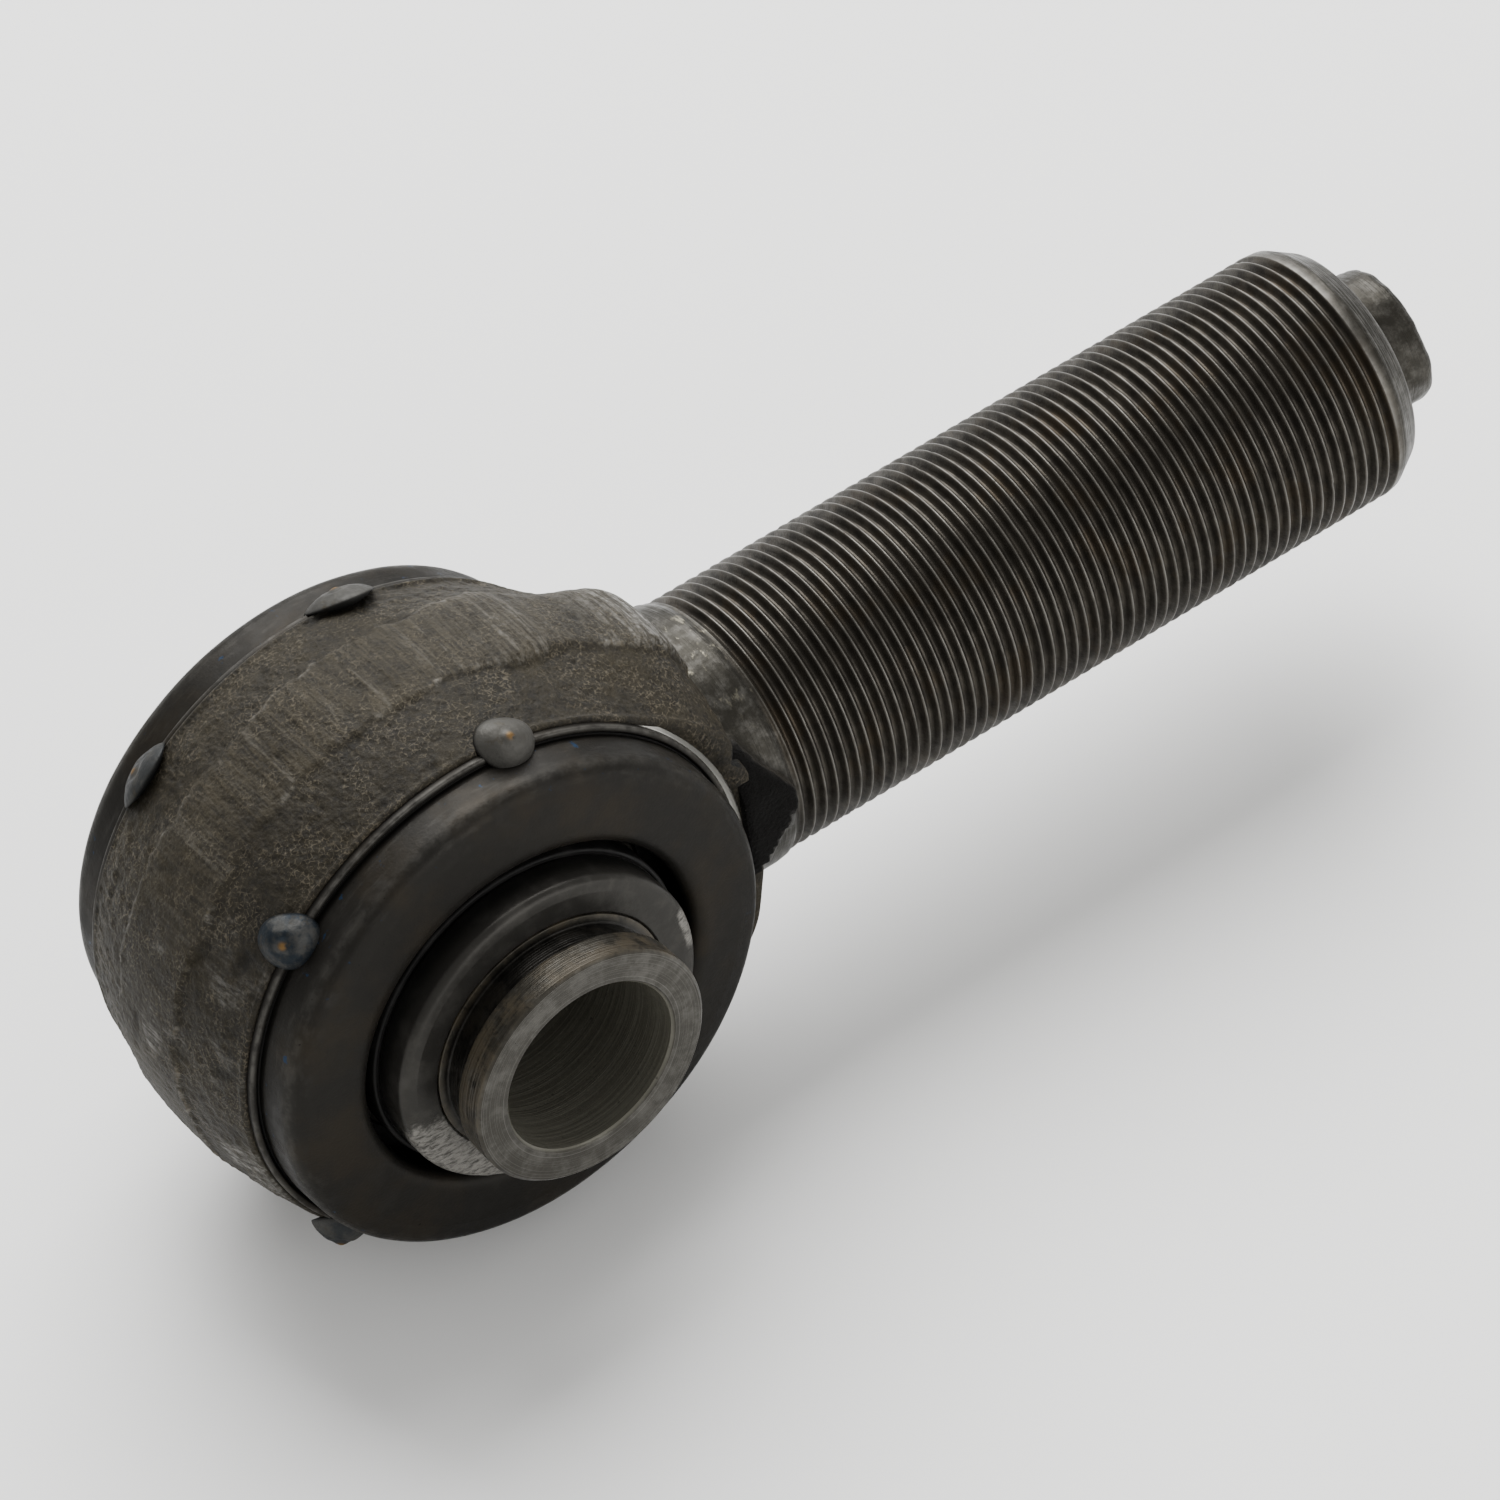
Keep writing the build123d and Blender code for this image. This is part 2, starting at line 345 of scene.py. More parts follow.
class Finish:
    """One material and the joining of its nodes."""

    def __init__(self, name, metallic, roughness, specular=0.5, edge=1.0):
        self.material = bpy.data.materials.new(name)
        self.material.use_nodes = True
        self.tree = self.material.node_tree
        self.shader = self.tree.nodes["Principled BSDF"]
        self.set(self.shader, "Metallic", metallic)
        self.set(self.shader, "Roughness", roughness)
        self.set(self.shader, "Specular IOR Level", specular)
        self.set(self.shader, "Specular Tint", (edge, edge, edge))
        self.place = self.node("ShaderNodeTexCoord").outputs["Object"]

    def set(self, node, socket, value):
        """Puts a number or colour on a socket, or joins an output to it."""
        target = node.inputs[socket]
        if isinstance(value, bpy.types.NodeSocket):
            self.tree.links.new(value, target)
        elif target.type == "RGBA" and len(value) == 3:
            target.default_value = (*value, 1.0)
        else:
            target.default_value = value

    def node(self, kind, sockets=None, **settings):
        """Adds a node, sets its own settings and fills its sockets."""
        node = self.tree.nodes.new(kind)
        number = len(self.tree.nodes)
        node.location = (-240 * (1 + number // 5), 300 - 190 * (number % 5))
        for key, value in settings.items():
            setattr(node, key, value)
        for socket, value in (sockets or {}).items():
            self.set(node, socket, value)
        return node

    def stretched(self, scale):
        """Object coordinates scaled differently along the three axes."""
        return self.node("ShaderNodeMapping", {"Vector": self.place, "Scale": scale}).outputs[0]

    def noise(self, size, detail=4.0, roughness=0.6, distortion=0.0, vector=None):
        """Noise whose blotches are about size millimetres across."""
        return self.node("ShaderNodeTexNoise", {
            "Vector": vector or self.place, "Scale": 1 / (size * MM), "Detail": detail,
            "Roughness": roughness, "Distortion": distortion}).outputs["Fac"]

    def cells(self, size, feature="F1", vector=None):
        """Distance inside cells about size millimetres across."""
        return self.node("ShaderNodeTexVoronoi", {
            "Vector": vector or self.place, "Scale": 1 / (size * MM)},
            feature=feature).outputs["Distance"]

    def band(self, value, low, high, start=0.0, finish=1.0):
        """Value brought from low..high to start..finish, held at its ends."""
        return self.node("ShaderNodeMapRange", {
            "Value": value, "From Min": low, "From Max": high, "To Min": start,
            "To Max": finish}, interpolation_type="SMOOTHSTEP").outputs["Result"]

    def maths(self, operation, first, second=0.0):
        """One step of arithmetic on two numbers."""
        node = self.node("ShaderNodeMath", operation=operation)
        self.set(node, 0, first)
        self.set(node, 1, second)
        return node.outputs[0]

    def times(self, first, second):
        """The product of two numbers."""
        return self.maths("MULTIPLY", first, second)

    def mix(self, first, second, amount):
        """Between two colours."""
        node = self.node("ShaderNodeMix", data_type="RGBA")
        self.set(node, 0, amount)
        self.set(node, 6, first)
        self.set(node, 7, second)
        return node.outputs[2]

    def channel(self, name):
        """A number kept on the mesh's points."""
        return self.node("ShaderNodeAttribute", attribute_name=name).outputs["Fac"]

    def bump(self, height, depth, below=None):
        """Bump of depth millimetres over another bump."""
        node = self.node("ShaderNodeBump", {"Height": height, "Distance": depth * MM,
                                            "Strength": 1.0})
        if below:
            self.set(node, "Normal", below)
        return node.outputs["Normal"]

    def wear(self, colour_output, roughness_output, normal_output, metallic_output=None):
        """Joins the finished colour, roughness, bump and metal to the shader."""
        self.set(self.shader, "Base Color", colour_output)
        self.set(self.shader, "Roughness", roughness_output)
        self.set(self.shader, "Normal", normal_output)
        if metallic_output:
            self.set(self.shader, "Metallic", metallic_output)
        return self.material


def shaded(tone, factor):
    """A colour made darker or lighter by one factor."""
    return tuple(part * factor for part in tone)


def tinted(tone, factors):
    """A colour times a factor of its own for each of red, green and blue."""
    return tuple(part * factor for part, factor in zip(tone, factors))


def forged_skin(tones):
    """Brown-grey scale with dark blotches and cream flecks, scratches and worn steel on the flash
    land, blue heat tint and soot round the welds, dark pits, painted shade in the torn notch, and
    the bright crescent of the spot face."""
    finish = Finish("forged_skin", 0.0, 0.6, specular=0.13)
    blotch = finish.noise(7.0, detail=5.0, roughness=0.65)
    mottle = finish.noise(1.1, detail=6.0, roughness=0.72)
    grain = finish.noise(0.40, detail=5.0, roughness=0.66)
    skin = finish.mix(tones.scale_dark, tones.scale, finish.band(mottle, 0.34, 0.58, 0.25, 1.0))
    warm = tinted(tones.scale, (1.18, 1.14, 0.98))
    skin = finish.mix(skin, warm, finish.band(blotch, 0.48, 0.66, 0.0, 0.75))
    shade = finish.band(finish.noise(3.4, detail=6.0, roughness=0.7), 0.52, 0.68, 0.0, 0.55)
    skin = finish.mix(skin, tones.scale_dark, shade)
    edges = finish.band(finish.cells(0.62, "DISTANCE_TO_EDGE"), 0.02, 0.10, 1.0, 0.0)
    network = finish.times(edges, finish.band(grain, 0.40, 0.62))
    flecks = finish.times(finish.maths("MAXIMUM", network, finish.band(grain, 0.56, 0.70)),
                          finish.band(finish.noise(5.0, detail=5.0), 0.40, 0.62, 0.18, 1.0))
    skin = finish.mix(skin, tones.fleck, finish.times(flecks, 0.72))
    raised = finish.channel("raised")
    skin = finish.mix(skin, tones.fleck, finish.band(raised, 0.35, 1.0, 0.0, 0.75))
    heat = finish.channel("heat")
    tint = finish.times(heat, finish.band(finish.noise(1.1, detail=4.0), 0.32, 0.58))
    skin = finish.mix(skin, tones.temper_blue, tint)
    # near-black for the channel dark: soot round the welds, darker pits, and painted shade in the torn
    # notch
    soot_and_painted_shade = (0.0055, 0.0055, 0.0050)
    skin = finish.mix(skin, soot_and_painted_shade, finish.channel("dark"))
    shear = finish.channel("shear")
    scratch = finish.noise(0.45, detail=3.0, vector=finish.stretched((1.0, 0.07, 1.0)))
    scratch_line = finish.band(scratch, 0.42, 0.60, 0.15, 1.0)
    scratched = finish.times(shear, scratch_line)
    skin = finish.mix(skin, shaded(tones.scale, 2.6), finish.times(scratched, 0.6))
    torn = finish.band(finish.noise(0.9, detail=5.0, roughness=0.7), 0.36, 0.62, 0.25, 1.0)
    worn = finish.times(finish.channel("bare"), finish.times(torn, scratch_line))
    skin = finish.mix(skin, tones.bare, worn)
    faced = finish.channel("faced")
    freshly_cut = (0.56, 0.55, 0.51)
    skin = finish.mix(skin, freshly_cut, faced)
    worn = finish.maths("MAXIMUM", worn, faced)
    uncut = finish.maths("SUBTRACT", 1.0, faced)
    roughness = finish.band(worn, 0.0, 1.0, 0.62, 0.42)
    surface = finish.bump(finish.times(grain, uncut), 0.15)
    pits = finish.times(finish.band(finish.cells(0.75), 0.10, 0.55), uncut)
    surface = finish.bump(pits, 0.05, surface)
    surface = finish.bump(finish.times(scratch, shear), 0.08, surface)
    metal = finish.band(worn, 0.1, 0.9, 0.10, 0.75)
    return finish.wear(skin, roughness, surface, metal)


def rolled_thread(tones):
    """Steel thread with bright crests, partly worn steel and partly painted highlight, grime in the
    roots and dark specks; a clouded bare neck and tip with torn bright patches, and rough dark
    scale where the channel raw is set."""
    finish = Finish("rolled_thread", 0.7, 0.42, specular=0.12)
    crest = finish.channel("crest")
    patch = finish.noise(6.0, detail=4.0)
    film = finish.noise(0.9, detail=5.0, vector=finish.stretched((1.0, 0.35, 0.35)))
    steel = finish.mix(tones.thread_grime, tones.thread, finish.band(film, 0.30, 0.72, 0.25, 0.95))
    brown = tinted(tones.thread, (0.78, 0.66, 0.50))
    steel = finish.mix(steel, brown, finish.band(patch, 0.50, 0.66, 0.0, 0.55))
    # crests lighter: partly worn steel, partly a painted highlight along the crest line
    steel = finish.mix(steel, tones.bare, finish.times(
        crest, finish.band(finish.noise(2.5, detail=5.0), 0.30, 0.62, 0.30, 0.85)))
    bare = finish.channel("bare")
    cloud = finish.band(finish.noise(1.5, detail=6.0, roughness=0.7), 0.42, 0.74, 0.0, 0.30)
    dull = tinted(tones.bare, (0.16, 0.155, 0.14))
    steel = finish.mix(steel, finish.mix(dull, tones.bare, cloud), bare)
    torn = finish.band(finish.noise(1.3, detail=6.0, roughness=0.72,
                                    vector=finish.stretched((1.0, 0.5, 0.5))), 0.55, 0.66)
    steel = finish.mix(steel, tinted(tones.bare, (1.25, 1.2, 1.0)),
                       finish.times(torn, finish.channel("torn")))
    raw = finish.channel("raw")
    steel = finish.mix(steel, shaded(tones.scale_dark, 0.3), raw)
    specks = finish.band(finish.noise(1.0, detail=2.0), 0.72, 0.77)
    speck_brown = (0.02, 0.016, 0.012)
    steel = finish.mix(steel, speck_brown, finish.times(specks, 0.75))
    grain = finish.noise(0.35, detail=4.0, roughness=0.65)
    lay = finish.noise(0.30, detail=2.0, vector=finish.stretched((1.0, 0.04, 0.04)))
    surface = finish.bump(grain, 0.03)
    surface = finish.bump(finish.times(lay, bare), 0.10, surface)
    surface = finish.bump(finish.times(finish.noise(0.55, detail=5.0), raw), 0.5, surface)
    metal = finish.band(raw, 0.0, 0.8, 0.75, 0.0)
    rough = finish.maths("MAXIMUM", finish.band(film, 0.3, 0.7, 0.50, 0.34),
                         finish.times(raw, 0.90))
    return finish.wear(steel, rough, surface, metal)


def pressed_ring(tones):
    """Oiled pressed steel: satin dark grey with brown stains, a lighter haze, a rubbed wall, a lip
    edge and shoulder made lighter as partly rubbed steel and partly painted highlight, painted shade
    in the groove and inside the opening, specks and a few blue marks."""
    finish = Finish("pressed_ring", 0.45, 0.42, specular=0.12, edge=0.35)
    cloud = finish.noise(9.0, detail=4.0)
    haze = finish.noise(2.4, detail=5.0)
    steel = finish.mix(tones.ring, tones.ring_brown, finish.band(cloud, 0.42, 0.66))
    lighter = shaded(tones.ring, 1.35)
    steel = finish.mix(steel, lighter, finish.band(haze, 0.52, 0.72, 0.0, 0.6))
    wall = finish.channel("wall")
    rub = finish.noise(1.6, detail=5.0, vector=finish.stretched((0.5, 2.2, 0.5)))
    rubbed = finish.times(wall, finish.band(rub, 0.50, 0.70, 0.0, 0.5))
    steel = finish.mix(steel, tones.bare, finish.times(rubbed, 0.10))
    # lip edge and shoulder lighter: partly rubbed steel, partly painted highlight
    edge = finish.times(finish.channel("edge"),
                        finish.band(finish.noise(1.4, detail=4.0), 0.36, 0.62, 0.3, 1.0))
    steel = finish.mix(steel, tones.bare, edge)
    marks = finish.times(finish.band(finish.noise(1.6, detail=4.0), 0.66, 0.72), wall)
    marking_blue = (0.010, 0.026, 0.055)
    steel = finish.mix(steel, marking_blue, finish.times(marks, 0.8))
    # painted shade in the groove behind the lip and inside the opening
    steel = finish.mix(steel, (0.003, 0.003, 0.003), finish.channel("dark"))
    specks = finish.band(finish.noise(0.8, detail=2.0), 0.74, 0.80)
    steel = finish.mix(steel, (0.004, 0.0035, 0.003), specks)
    grain = finish.noise(0.30, detail=3.0, roughness=0.6)
    surface = finish.bump(grain, 0.012)
    surface = finish.bump(haze, 0.05, surface)
    return finish.wear(steel, finish.band(haze, 0.3, 0.7, 0.34, 0.50), surface)


def weld_metal(tones):
    """Grey weld metal with straw and blue tint, ripples, a slag spot and a dark rim."""
    finish = Finish("weld_metal", 0.45, 0.52, specular=0.12, edge=0.5)
    tint = finish.times(finish.channel("blued"),
                        finish.band(finish.noise(2.2, detail=4.0), 0.36, 0.58, 0.35, 1.0))
    blue = (0.012, 0.0155, 0.0195)
    steel = finish.mix(tones.weld, blue, tint)
    straw = (0.036, 0.030, 0.020)
    steel = finish.mix(steel, straw, finish.band(finish.noise(1.5, detail=5.0), 0.56, 0.70, 0.0, 0.55))
    steel = finish.mix(steel, tones.slag, finish.times(finish.channel("slag"), 0.85))
    steel = finish.mix(steel, (0.004, 0.004, 0.004), finish.channel("rim"))
    ripple = finish.noise(0.7, detail=3.0)
    surface = finish.bump(ripple, 0.08)
    surface = finish.bump(finish.noise(0.2, detail=2.0), 0.012, surface)
    return finish.wear(steel, finish.band(ripple, 0.3, 0.7, 0.46, 0.62), surface)


def turned_sleeve(tones):
    """Turned steel: fine rings of the cutting tool, a stained side, a dull bore with tool marks
    and painted shade in the groove."""
    finish = Finish("turned_sleeve", 0.75, 0.38, specular=0.2)
    side = finish.channel("side")
    bore = finish.channel("bore")
    face = finish.channel("face")
    radial = finish.channel("radial")
    steel = finish.mix(tones.sleeve, tones.bare, finish.band(
        finish.noise(2.0, detail=5.0, roughness=0.65), 0.42, 0.70, 0.0, 0.25))
    stain = finish.times(side, finish.band(
        finish.noise(3.2, detail=6.0, roughness=0.68), 0.40, 0.60, 0.15, 1.0))
    steel = finish.mix(steel, tones.sleeve_stain, stain)
    blot = finish.times(side, finish.band(
        finish.noise(1.7, detail=6.0, roughness=0.7), 0.57, 0.67, 0.0, 0.65))
    old_oil = (0.0085, 0.0075, 0.0062)
    steel = finish.mix(steel, old_oil, blot)
    dull_bore = (0.150, 0.145, 0.118)
    steel = finish.mix(steel, dull_bore, finish.times(bore, 0.9))
    # painted shade in the groove next to the collar
    steel = finish.mix(steel, (0.0035, 0.0033, 0.003), finish.channel("dark"))
    specks = finish.band(finish.noise(0.7, detail=3.0), 0.66, 0.74)
    steel = finish.mix(steel, (0.016, 0.014, 0.012), finish.times(specks, 0.7))
    rings = finish.node("ShaderNodeTexNoise", {
        "W": radial, "Scale": 9.0, "Detail": 3.0}, noise_dimensions="1D").outputs["Fac"]
    steel = finish.mix(steel, tones.bare, finish.times(
        face, finish.band(rings, 0.52, 0.72, 0.0, 0.35)))
    lay = finish.noise(0.22, detail=1.0, vector=finish.stretched((0.012, 1.0, 0.012)))
    tool_mark = (0.060, 0.056, 0.044)
    steel = finish.mix(steel, tool_mark, finish.times(
        bore, finish.band(lay, 0.40, 0.60, 0.3, 0.65)))
    surface = finish.bump(finish.times(rings, face), 0.03)
    surface = finish.bump(finish.times(lay, finish.maths("MAXIMUM", bore, side)),
                          0.06, surface)
    surface = finish.bump(finish.noise(0.5, detail=4.0), 0.02, surface)
    rough = finish.band(finish.noise(1.2, detail=4.0), 0.3, 0.7, 0.30, 0.46)
    metal = finish.band(finish.maths("MAXIMUM", bore, finish.times(stain, 0.9)),
                        0.0, 1.0, 0.75, 0.25)
    return finish.wear(steel, rough, surface, metal)


def dark_collar(tones):
    """Dark smooth collar with its rounded edge bright in two places: rubbed steel low on the left and
    a painted reflection on the right; painted shade where the channel dark is set.
    """
    finish = Finish("dark_collar", 0.45, 0.36, specular=0.15, edge=0.5)
    haze = finish.noise(3.0, detail=5.0)
    steel = finish.mix(tones.collar, shaded(tones.collar, 1.4),
                       finish.band(haze, 0.44, 0.66))
    bare = finish.channel("bare")
    torn = finish.noise(0.8, detail=6.0, roughness=0.72)
    scrape = finish.noise(0.5, detail=5.0, roughness=0.7, vector=finish.stretched((0.45, 1.0, 1.6)))
    # the channel bare holds rubbed steel low on the left and a painted reflection on the right
    worn = finish.band(finish.maths("ADD", bare, finish.times(torn, 0.7)), 0.66, 0.98)
    worn = finish.times(worn, finish.band(scrape, 0.36, 0.58, 0.18, 1.0))
    steel = finish.mix(steel, shaded(tones.bare, 1.2), worn)
    # painted shade on the back of the side wall, inside the gap to the ring
    steel = finish.mix(steel, (0.005, 0.005, 0.005), finish.channel("dark"))
    specks = finish.band(finish.noise(0.8, detail=2.0), 0.72, 0.78)
    steel = finish.mix(steel, (0.02, 0.018, 0.016), specks)
    surface = finish.bump(finish.noise(0.4, detail=3.0), 0.015)
    surface = finish.bump(finish.times(scrape, bare), 0.22, surface)
    return finish.wear(steel, finish.band(haze, 0.3, 0.7, 0.28, 0.42), surface)


def moulded_rubber(tones):
    """Black rubber with a faint bloom and fine pores."""
    finish = Finish("moulded_rubber", 0.0, 0.6, specular=0.12)
    bloom = finish.noise(4.0, detail=4.0)
    grey = shaded(tones.rubber, 3.0)
    black = finish.mix(tones.rubber, grey, finish.band(bloom, 0.45, 0.70, 0.0, 0.7))
    surface = finish.bump(finish.noise(0.35, detail=3.0), 0.02)
    surface = finish.bump(finish.cells(0.9), 0.015, surface)
    return finish.wear(black, finish.band(bloom, 0.3, 0.7, 0.48, 0.70), surface)


def drawn_steel(tones):
    """Plain bright steel of the hidden shells and rings, with drawing lines and oil blotches."""
    finish = Finish("drawn_steel", 0.85, 0.35, specular=0.5)
    oil = finish.noise(5.0, detail=4.0)
    steel = finish.mix(tones.sleeve, tones.ring, finish.band(oil, 0.46, 0.66, 0.0, 0.7))
    lines = finish.noise(0.4, detail=2.0, vector=finish.stretched((0.12, 1.0, 0.12)))
    surface = finish.bump(lines, 0.02)
    surface = finish.bump(finish.noise(0.3, detail=3.0), 0.012, surface)
    return finish.wear(steel, finish.band(oil, 0.3, 0.7, 0.28, 0.44), surface)


FINISH_MAKERS = {
    "forged_skin": forged_skin, "rolled_thread": rolled_thread, "pressed_ring": pressed_ring,
    "weld_metal": weld_metal, "turned_sleeve": turned_sleeve, "dark_collar": dark_collar,
    "moulded_rubber": moulded_rubber, "drawn_steel": drawn_steel,
}


def finish_named(name):
    """The material of that name, made the first time it is asked for."""
    if name not in bpy.data.materials:
        FINISH_MAKERS[name](bpy.context.scene.rod_finish)
    return bpy.data.materials[name]


def spread(channels, shape):
    """Each channel laid over every point of a grid of this shape."""
    return {name: np.broadcast_to(values, shape).reshape(-1) for name, values in channels.items()}


def ring_piece(name, body, finish, grid, channels=None, sharp=None):
    """One piece from a grid of points that closes on itself both ways, like a ring."""
    shape = grid.shape[:2]
    return make_piece(name, body, finish_named(finish), grid,
                      [grid_faces(*shape, True, True)], spread(channels or {}, shape), sharp)


# ---------------------------------------------------------------- the forging

SIDES = {"near": -1.0, "far": 1.0}
# where the tack welds sit round the eye, in degrees from the shank
BEAD_ANGLES = {"near": (80.0, 137.0, -137.0, -80.0), "far": (81.5, 133.0, -133.0, -81.5)}
# how much blue heat tint each weld shows, taken in turn
BLUED = (0.5, 0.0, 1.0, 0.7, 0.4, 0.2, 0.6)
# the flash land, in degrees from the shank: where it stands highest, where it is widest, and how
# broad both stretches are
HUMP_AT, CORNER_AT, LOBE_WIDTH = 64.0, 34.0, 9.0
# the torn notch at the edge of the near side, in degrees from the shank
NOTCH_AT = 19.0
# the spot face round the ring: its outside, and the joint with the ring's lip inside it
SPOT_FACE_RADIUS = 31.0
FACE_JOINT_RADIUS = 30.6
# radius at which noise that only runs round the eye is read
GUIDE_RADIUS = 33.0


def turn_gap(angle, centre):
    """Smallest difference of two angles in degrees."""
    return np.abs((angle - centre + 180) % 360 - 180)


def shoulder_radius(x, end):
    """Radius of the shoulder about the shank's axis at x: straight taper, round corner and a short
    steep cone down to the neck, smoothed over a millimetre."""
    outline_x = np.array((-50, 13.5, 20, 26, 29.2, 31.0, 32.2, end - 0.1, end + 0.2))
    outline_r = np.array((31.0, 30.2, 27.4, 24.4, 22.6, 20.6, 18.2, 15.6, 15.2))
    fine = np.arange(-60, 60, 0.1)
    table = np.interp(fine, outline_x, outline_r)
    kernel = np.exp(-0.5 * (np.arange(-12, 13) / 5.0) ** 2)
    table = np.convolve(table, kernel / kernel.sum(), mode="same")
    return np.interp(x, fine, table)


def polar_shoulder(angle, y, end):
    """Distance r from the bore's axis at which the shoulder ends, looking along angle at height y:
    the largest r with y^2 + (r sin a)^2 <= shoulder radius(r cos a)^2 and r cos a <= end. The left
    side grows with r and the right side falls, so halving 0..60 mm 26 times finds it. It is 0
    where the angle points away from the shank."""
    low = np.zeros(np.broadcast(angle, y).shape)
    high = low + 60.0
    for _ in range(26):
        middle = (low + high) / 2
        x = middle * np.cos(angle)
        inside = y ** 2 + (middle * np.sin(angle)) ** 2 <= shoulder_radius(x, end) ** 2
        inside = inside & (x <= end)
        low = np.where(inside, middle, low)
        high = np.where(inside, high, middle)
    return np.where(np.cos(angle) > 0.1, low, 0.0)


def lobes(degrees, centre):
    """Bell-shaped humps at plus and minus centre: exp(-(gap / lobe width)^2) each."""
    return (np.exp(-(turn_gap(degrees, centre) / LOBE_WIDTH) ** 2)
            + np.exp(-(turn_gap(degrees, -centre) / LOBE_WIDTH) ** 2))


def land_edges(sizes, ring_place, hump, corner):
    """Heights y of the flash land's near and far edge, ragged and wider at hump and corner."""
    near_edge = -mm(sizes.land_near) - 0.55 * rough_noise(ring_place, 9.0, 3, 5)
    far_edge = mm(sizes.land_far) + 0.7 * rough_noise(ring_place, 9.0, 5, 5)
    near_edge = near_edge - 0.8 * hump - 1.6 * corner
    far_edge = far_edge + hump + 1.5 * corner
    ragged = 0.45 * rough_noise(ring_place, 1.3, 7, 3)
    return near_edge + ragged, far_edge + ragged


def heat_halo(degrees, y):
    """Heat round every tack weld: the sum of exp(-(distance over the skin)^2 / 22), in mm."""
    halo = 0.0
    for side, sign in SIDES.items():
        for at in BEAD_ANGLES[side]:
            across = np.radians(turn_gap(degrees, at)) * 31
            halo = halo + np.exp(-((across ** 2 + (y - sign * 13.8) ** 2) / 22.0))
    return halo


def forging_surface(sizes, angle, y, y_share):
    """Radius and material channels of the eye's outer skin at angle and height y.
    radius = the larger of barrel and shoulder, rounded together, + flash land + streaks - notch
    + waves, grain and pits, where barrel = skin - (skin - edge) * share^2.2, share is |y| over
    the half width and the shoulder has its flanks cut back."""
    skin, edge = mm(sizes.skin_radius), mm(sizes.edge_radius)
    end = mm(sizes.shoulder_end)
    degrees = np.degrees(angle)
    barrel = skin - (skin - edge) * np.abs(y_share) ** 2.2 + 0 * angle
    # the shoulder's flanks fall away from its middle, more on the far side
    off_shank = turn_gap(degrees, 0)
    flank = step(4, 11, np.abs(y)) * np.where(y > 0, 2.1, 0.5)
    flank = flank * step(20, 30, off_shank) * step(60, 46, off_shank)
    shoulder = polar_shoulder(angle, y, end) - flank
    blend = 0.8
    gap = np.clip((shoulder - barrel) / blend, -1, 1)
    radius = np.maximum(barrel, shoulder) + blend * 0.25 * (1 - np.abs(gap)) ** 2
    place = joined(radius * np.cos(angle), y, radius * np.sin(angle))
    ring_place = joined(GUIDE_RADIUS * np.cos(angle), 0 * y, GUIDE_RADIUS * np.sin(angle))

    # the trimmed flash land
    hump = lobes(degrees, HUMP_AT)
    corner = lobes(degrees, CORNER_AT)
    near_edge, far_edge = land_edges(sizes, ring_place, hump, corner)
    land = step(-0.35, 0.35, y - near_edge) * step(-0.35, 0.35, far_edge - y)
    steep = step(-0.9, 0.9, y - near_edge) * step(-2.2, 1.4, far_edge - y)
    height = mm(sizes.land_height) * (0.75 + 0.4 * rough_noise(ring_place, 8.0, 11, 2))
    radius = radius + land * height + steep * (0.75 * hump + 0.50 * corner)

    # chips along both edges of the land, then streaks left by the shear across it
    chips = np.clip(0.45 + 0.75 * rough_noise(place, 2.2, 23, 3), 0, 1)
    ridge = (np.exp(-((y - near_edge) / 0.28) ** 2) + np.exp(-((y - far_edge) / 0.28) ** 2)) * chips
    along = joined(GUIDE_RADIUS * np.cos(angle), 0.10 * y, GUIDE_RADIUS * np.sin(angle))
    streak = rough_noise(along, 0.75, 31, 2)
    broad = rough_noise(along, 2.4, 37, 2)
    strength = 0.35 + 0.6 * rough_noise(ring_place, 14.0, 41, 2) + hump + corner
    strength = land * np.clip(strength, 0, 1)
    radius = radius + 0.20 * ridge + strength * (0.07 * streak + 0.05 * broad)

    # a torn notch, about a millimetre deep, where the shoulder's near corner was cut by the spot face
    notch = np.exp(-((degrees - NOTCH_AT + 0.5 * (y + 14)) / 2.2) ** 2) * step(-9.0, -13.0, y)
    notch = notch * np.clip(1 + 0.5 * rough_noise(place, 1.2, 43, 2), 0, 1.6)
    radius = radius - notch

    # forged skin: slow waves, grain and pits, mostly below the true surface
    wave = rough_noise(place, 13.0, 47, 2)
    grain = rough_noise(place, 0.8, 53, 2)
    pits = np.clip(rough_noise(place, 2.6, 59, 2) - 0.55, 0, 1)
    fade = step(1.0, 0.93, np.abs(y_share))
    depth = mm(sizes.skin_roughness)
    texture = 0.16 * (wave - 1) + depth * (1 - 0.6 * land) * (grain - 1)
    radius = radius + fade * texture - 0.3 * pits * fade

    # heat round the welds and over the lower back of the near side, with bare patches in it
    halo = heat_halo(degrees, y)
    lower_left = step(25, 75, 90 - turn_gap(degrees, 190)) * step(14, -6, y)
    low_patch = lower_left * step(0.1, 0.7, rough_noise(place, (2.2, 5.0, 3.5), 67, 4))
    cavity = step(0.25, 0.9, grain * 0.5 + 0.5)
    channels = {
        "raised": cavity * (1 - land) * 0.3 + ridge * 0.9,
        "shear": np.clip(strength * step(-1.4, 0.4, streak) + 0.3 * ridge, 0, 1),
        "heat": np.clip(halo * 0.7 + lower_left * (0.7 + 0.5 * wave), 0, 1),
        # dark: soot round the welds, darker pits, and painted shade in the torn notch
        "dark": np.clip(0.35 * halo + 0.6 * pits + 2.0 * notch, 0, 1),
        "bare": np.clip(ridge * 0.7 * step(0.3, 0.8, chips)
                        + 0.25 * strength * step(0.35, 0.9, streak)
                        + (0.15 * hump + corner) * land
                        + 0.7 * low_patch, 0, 1),
    }
    return radius, channels


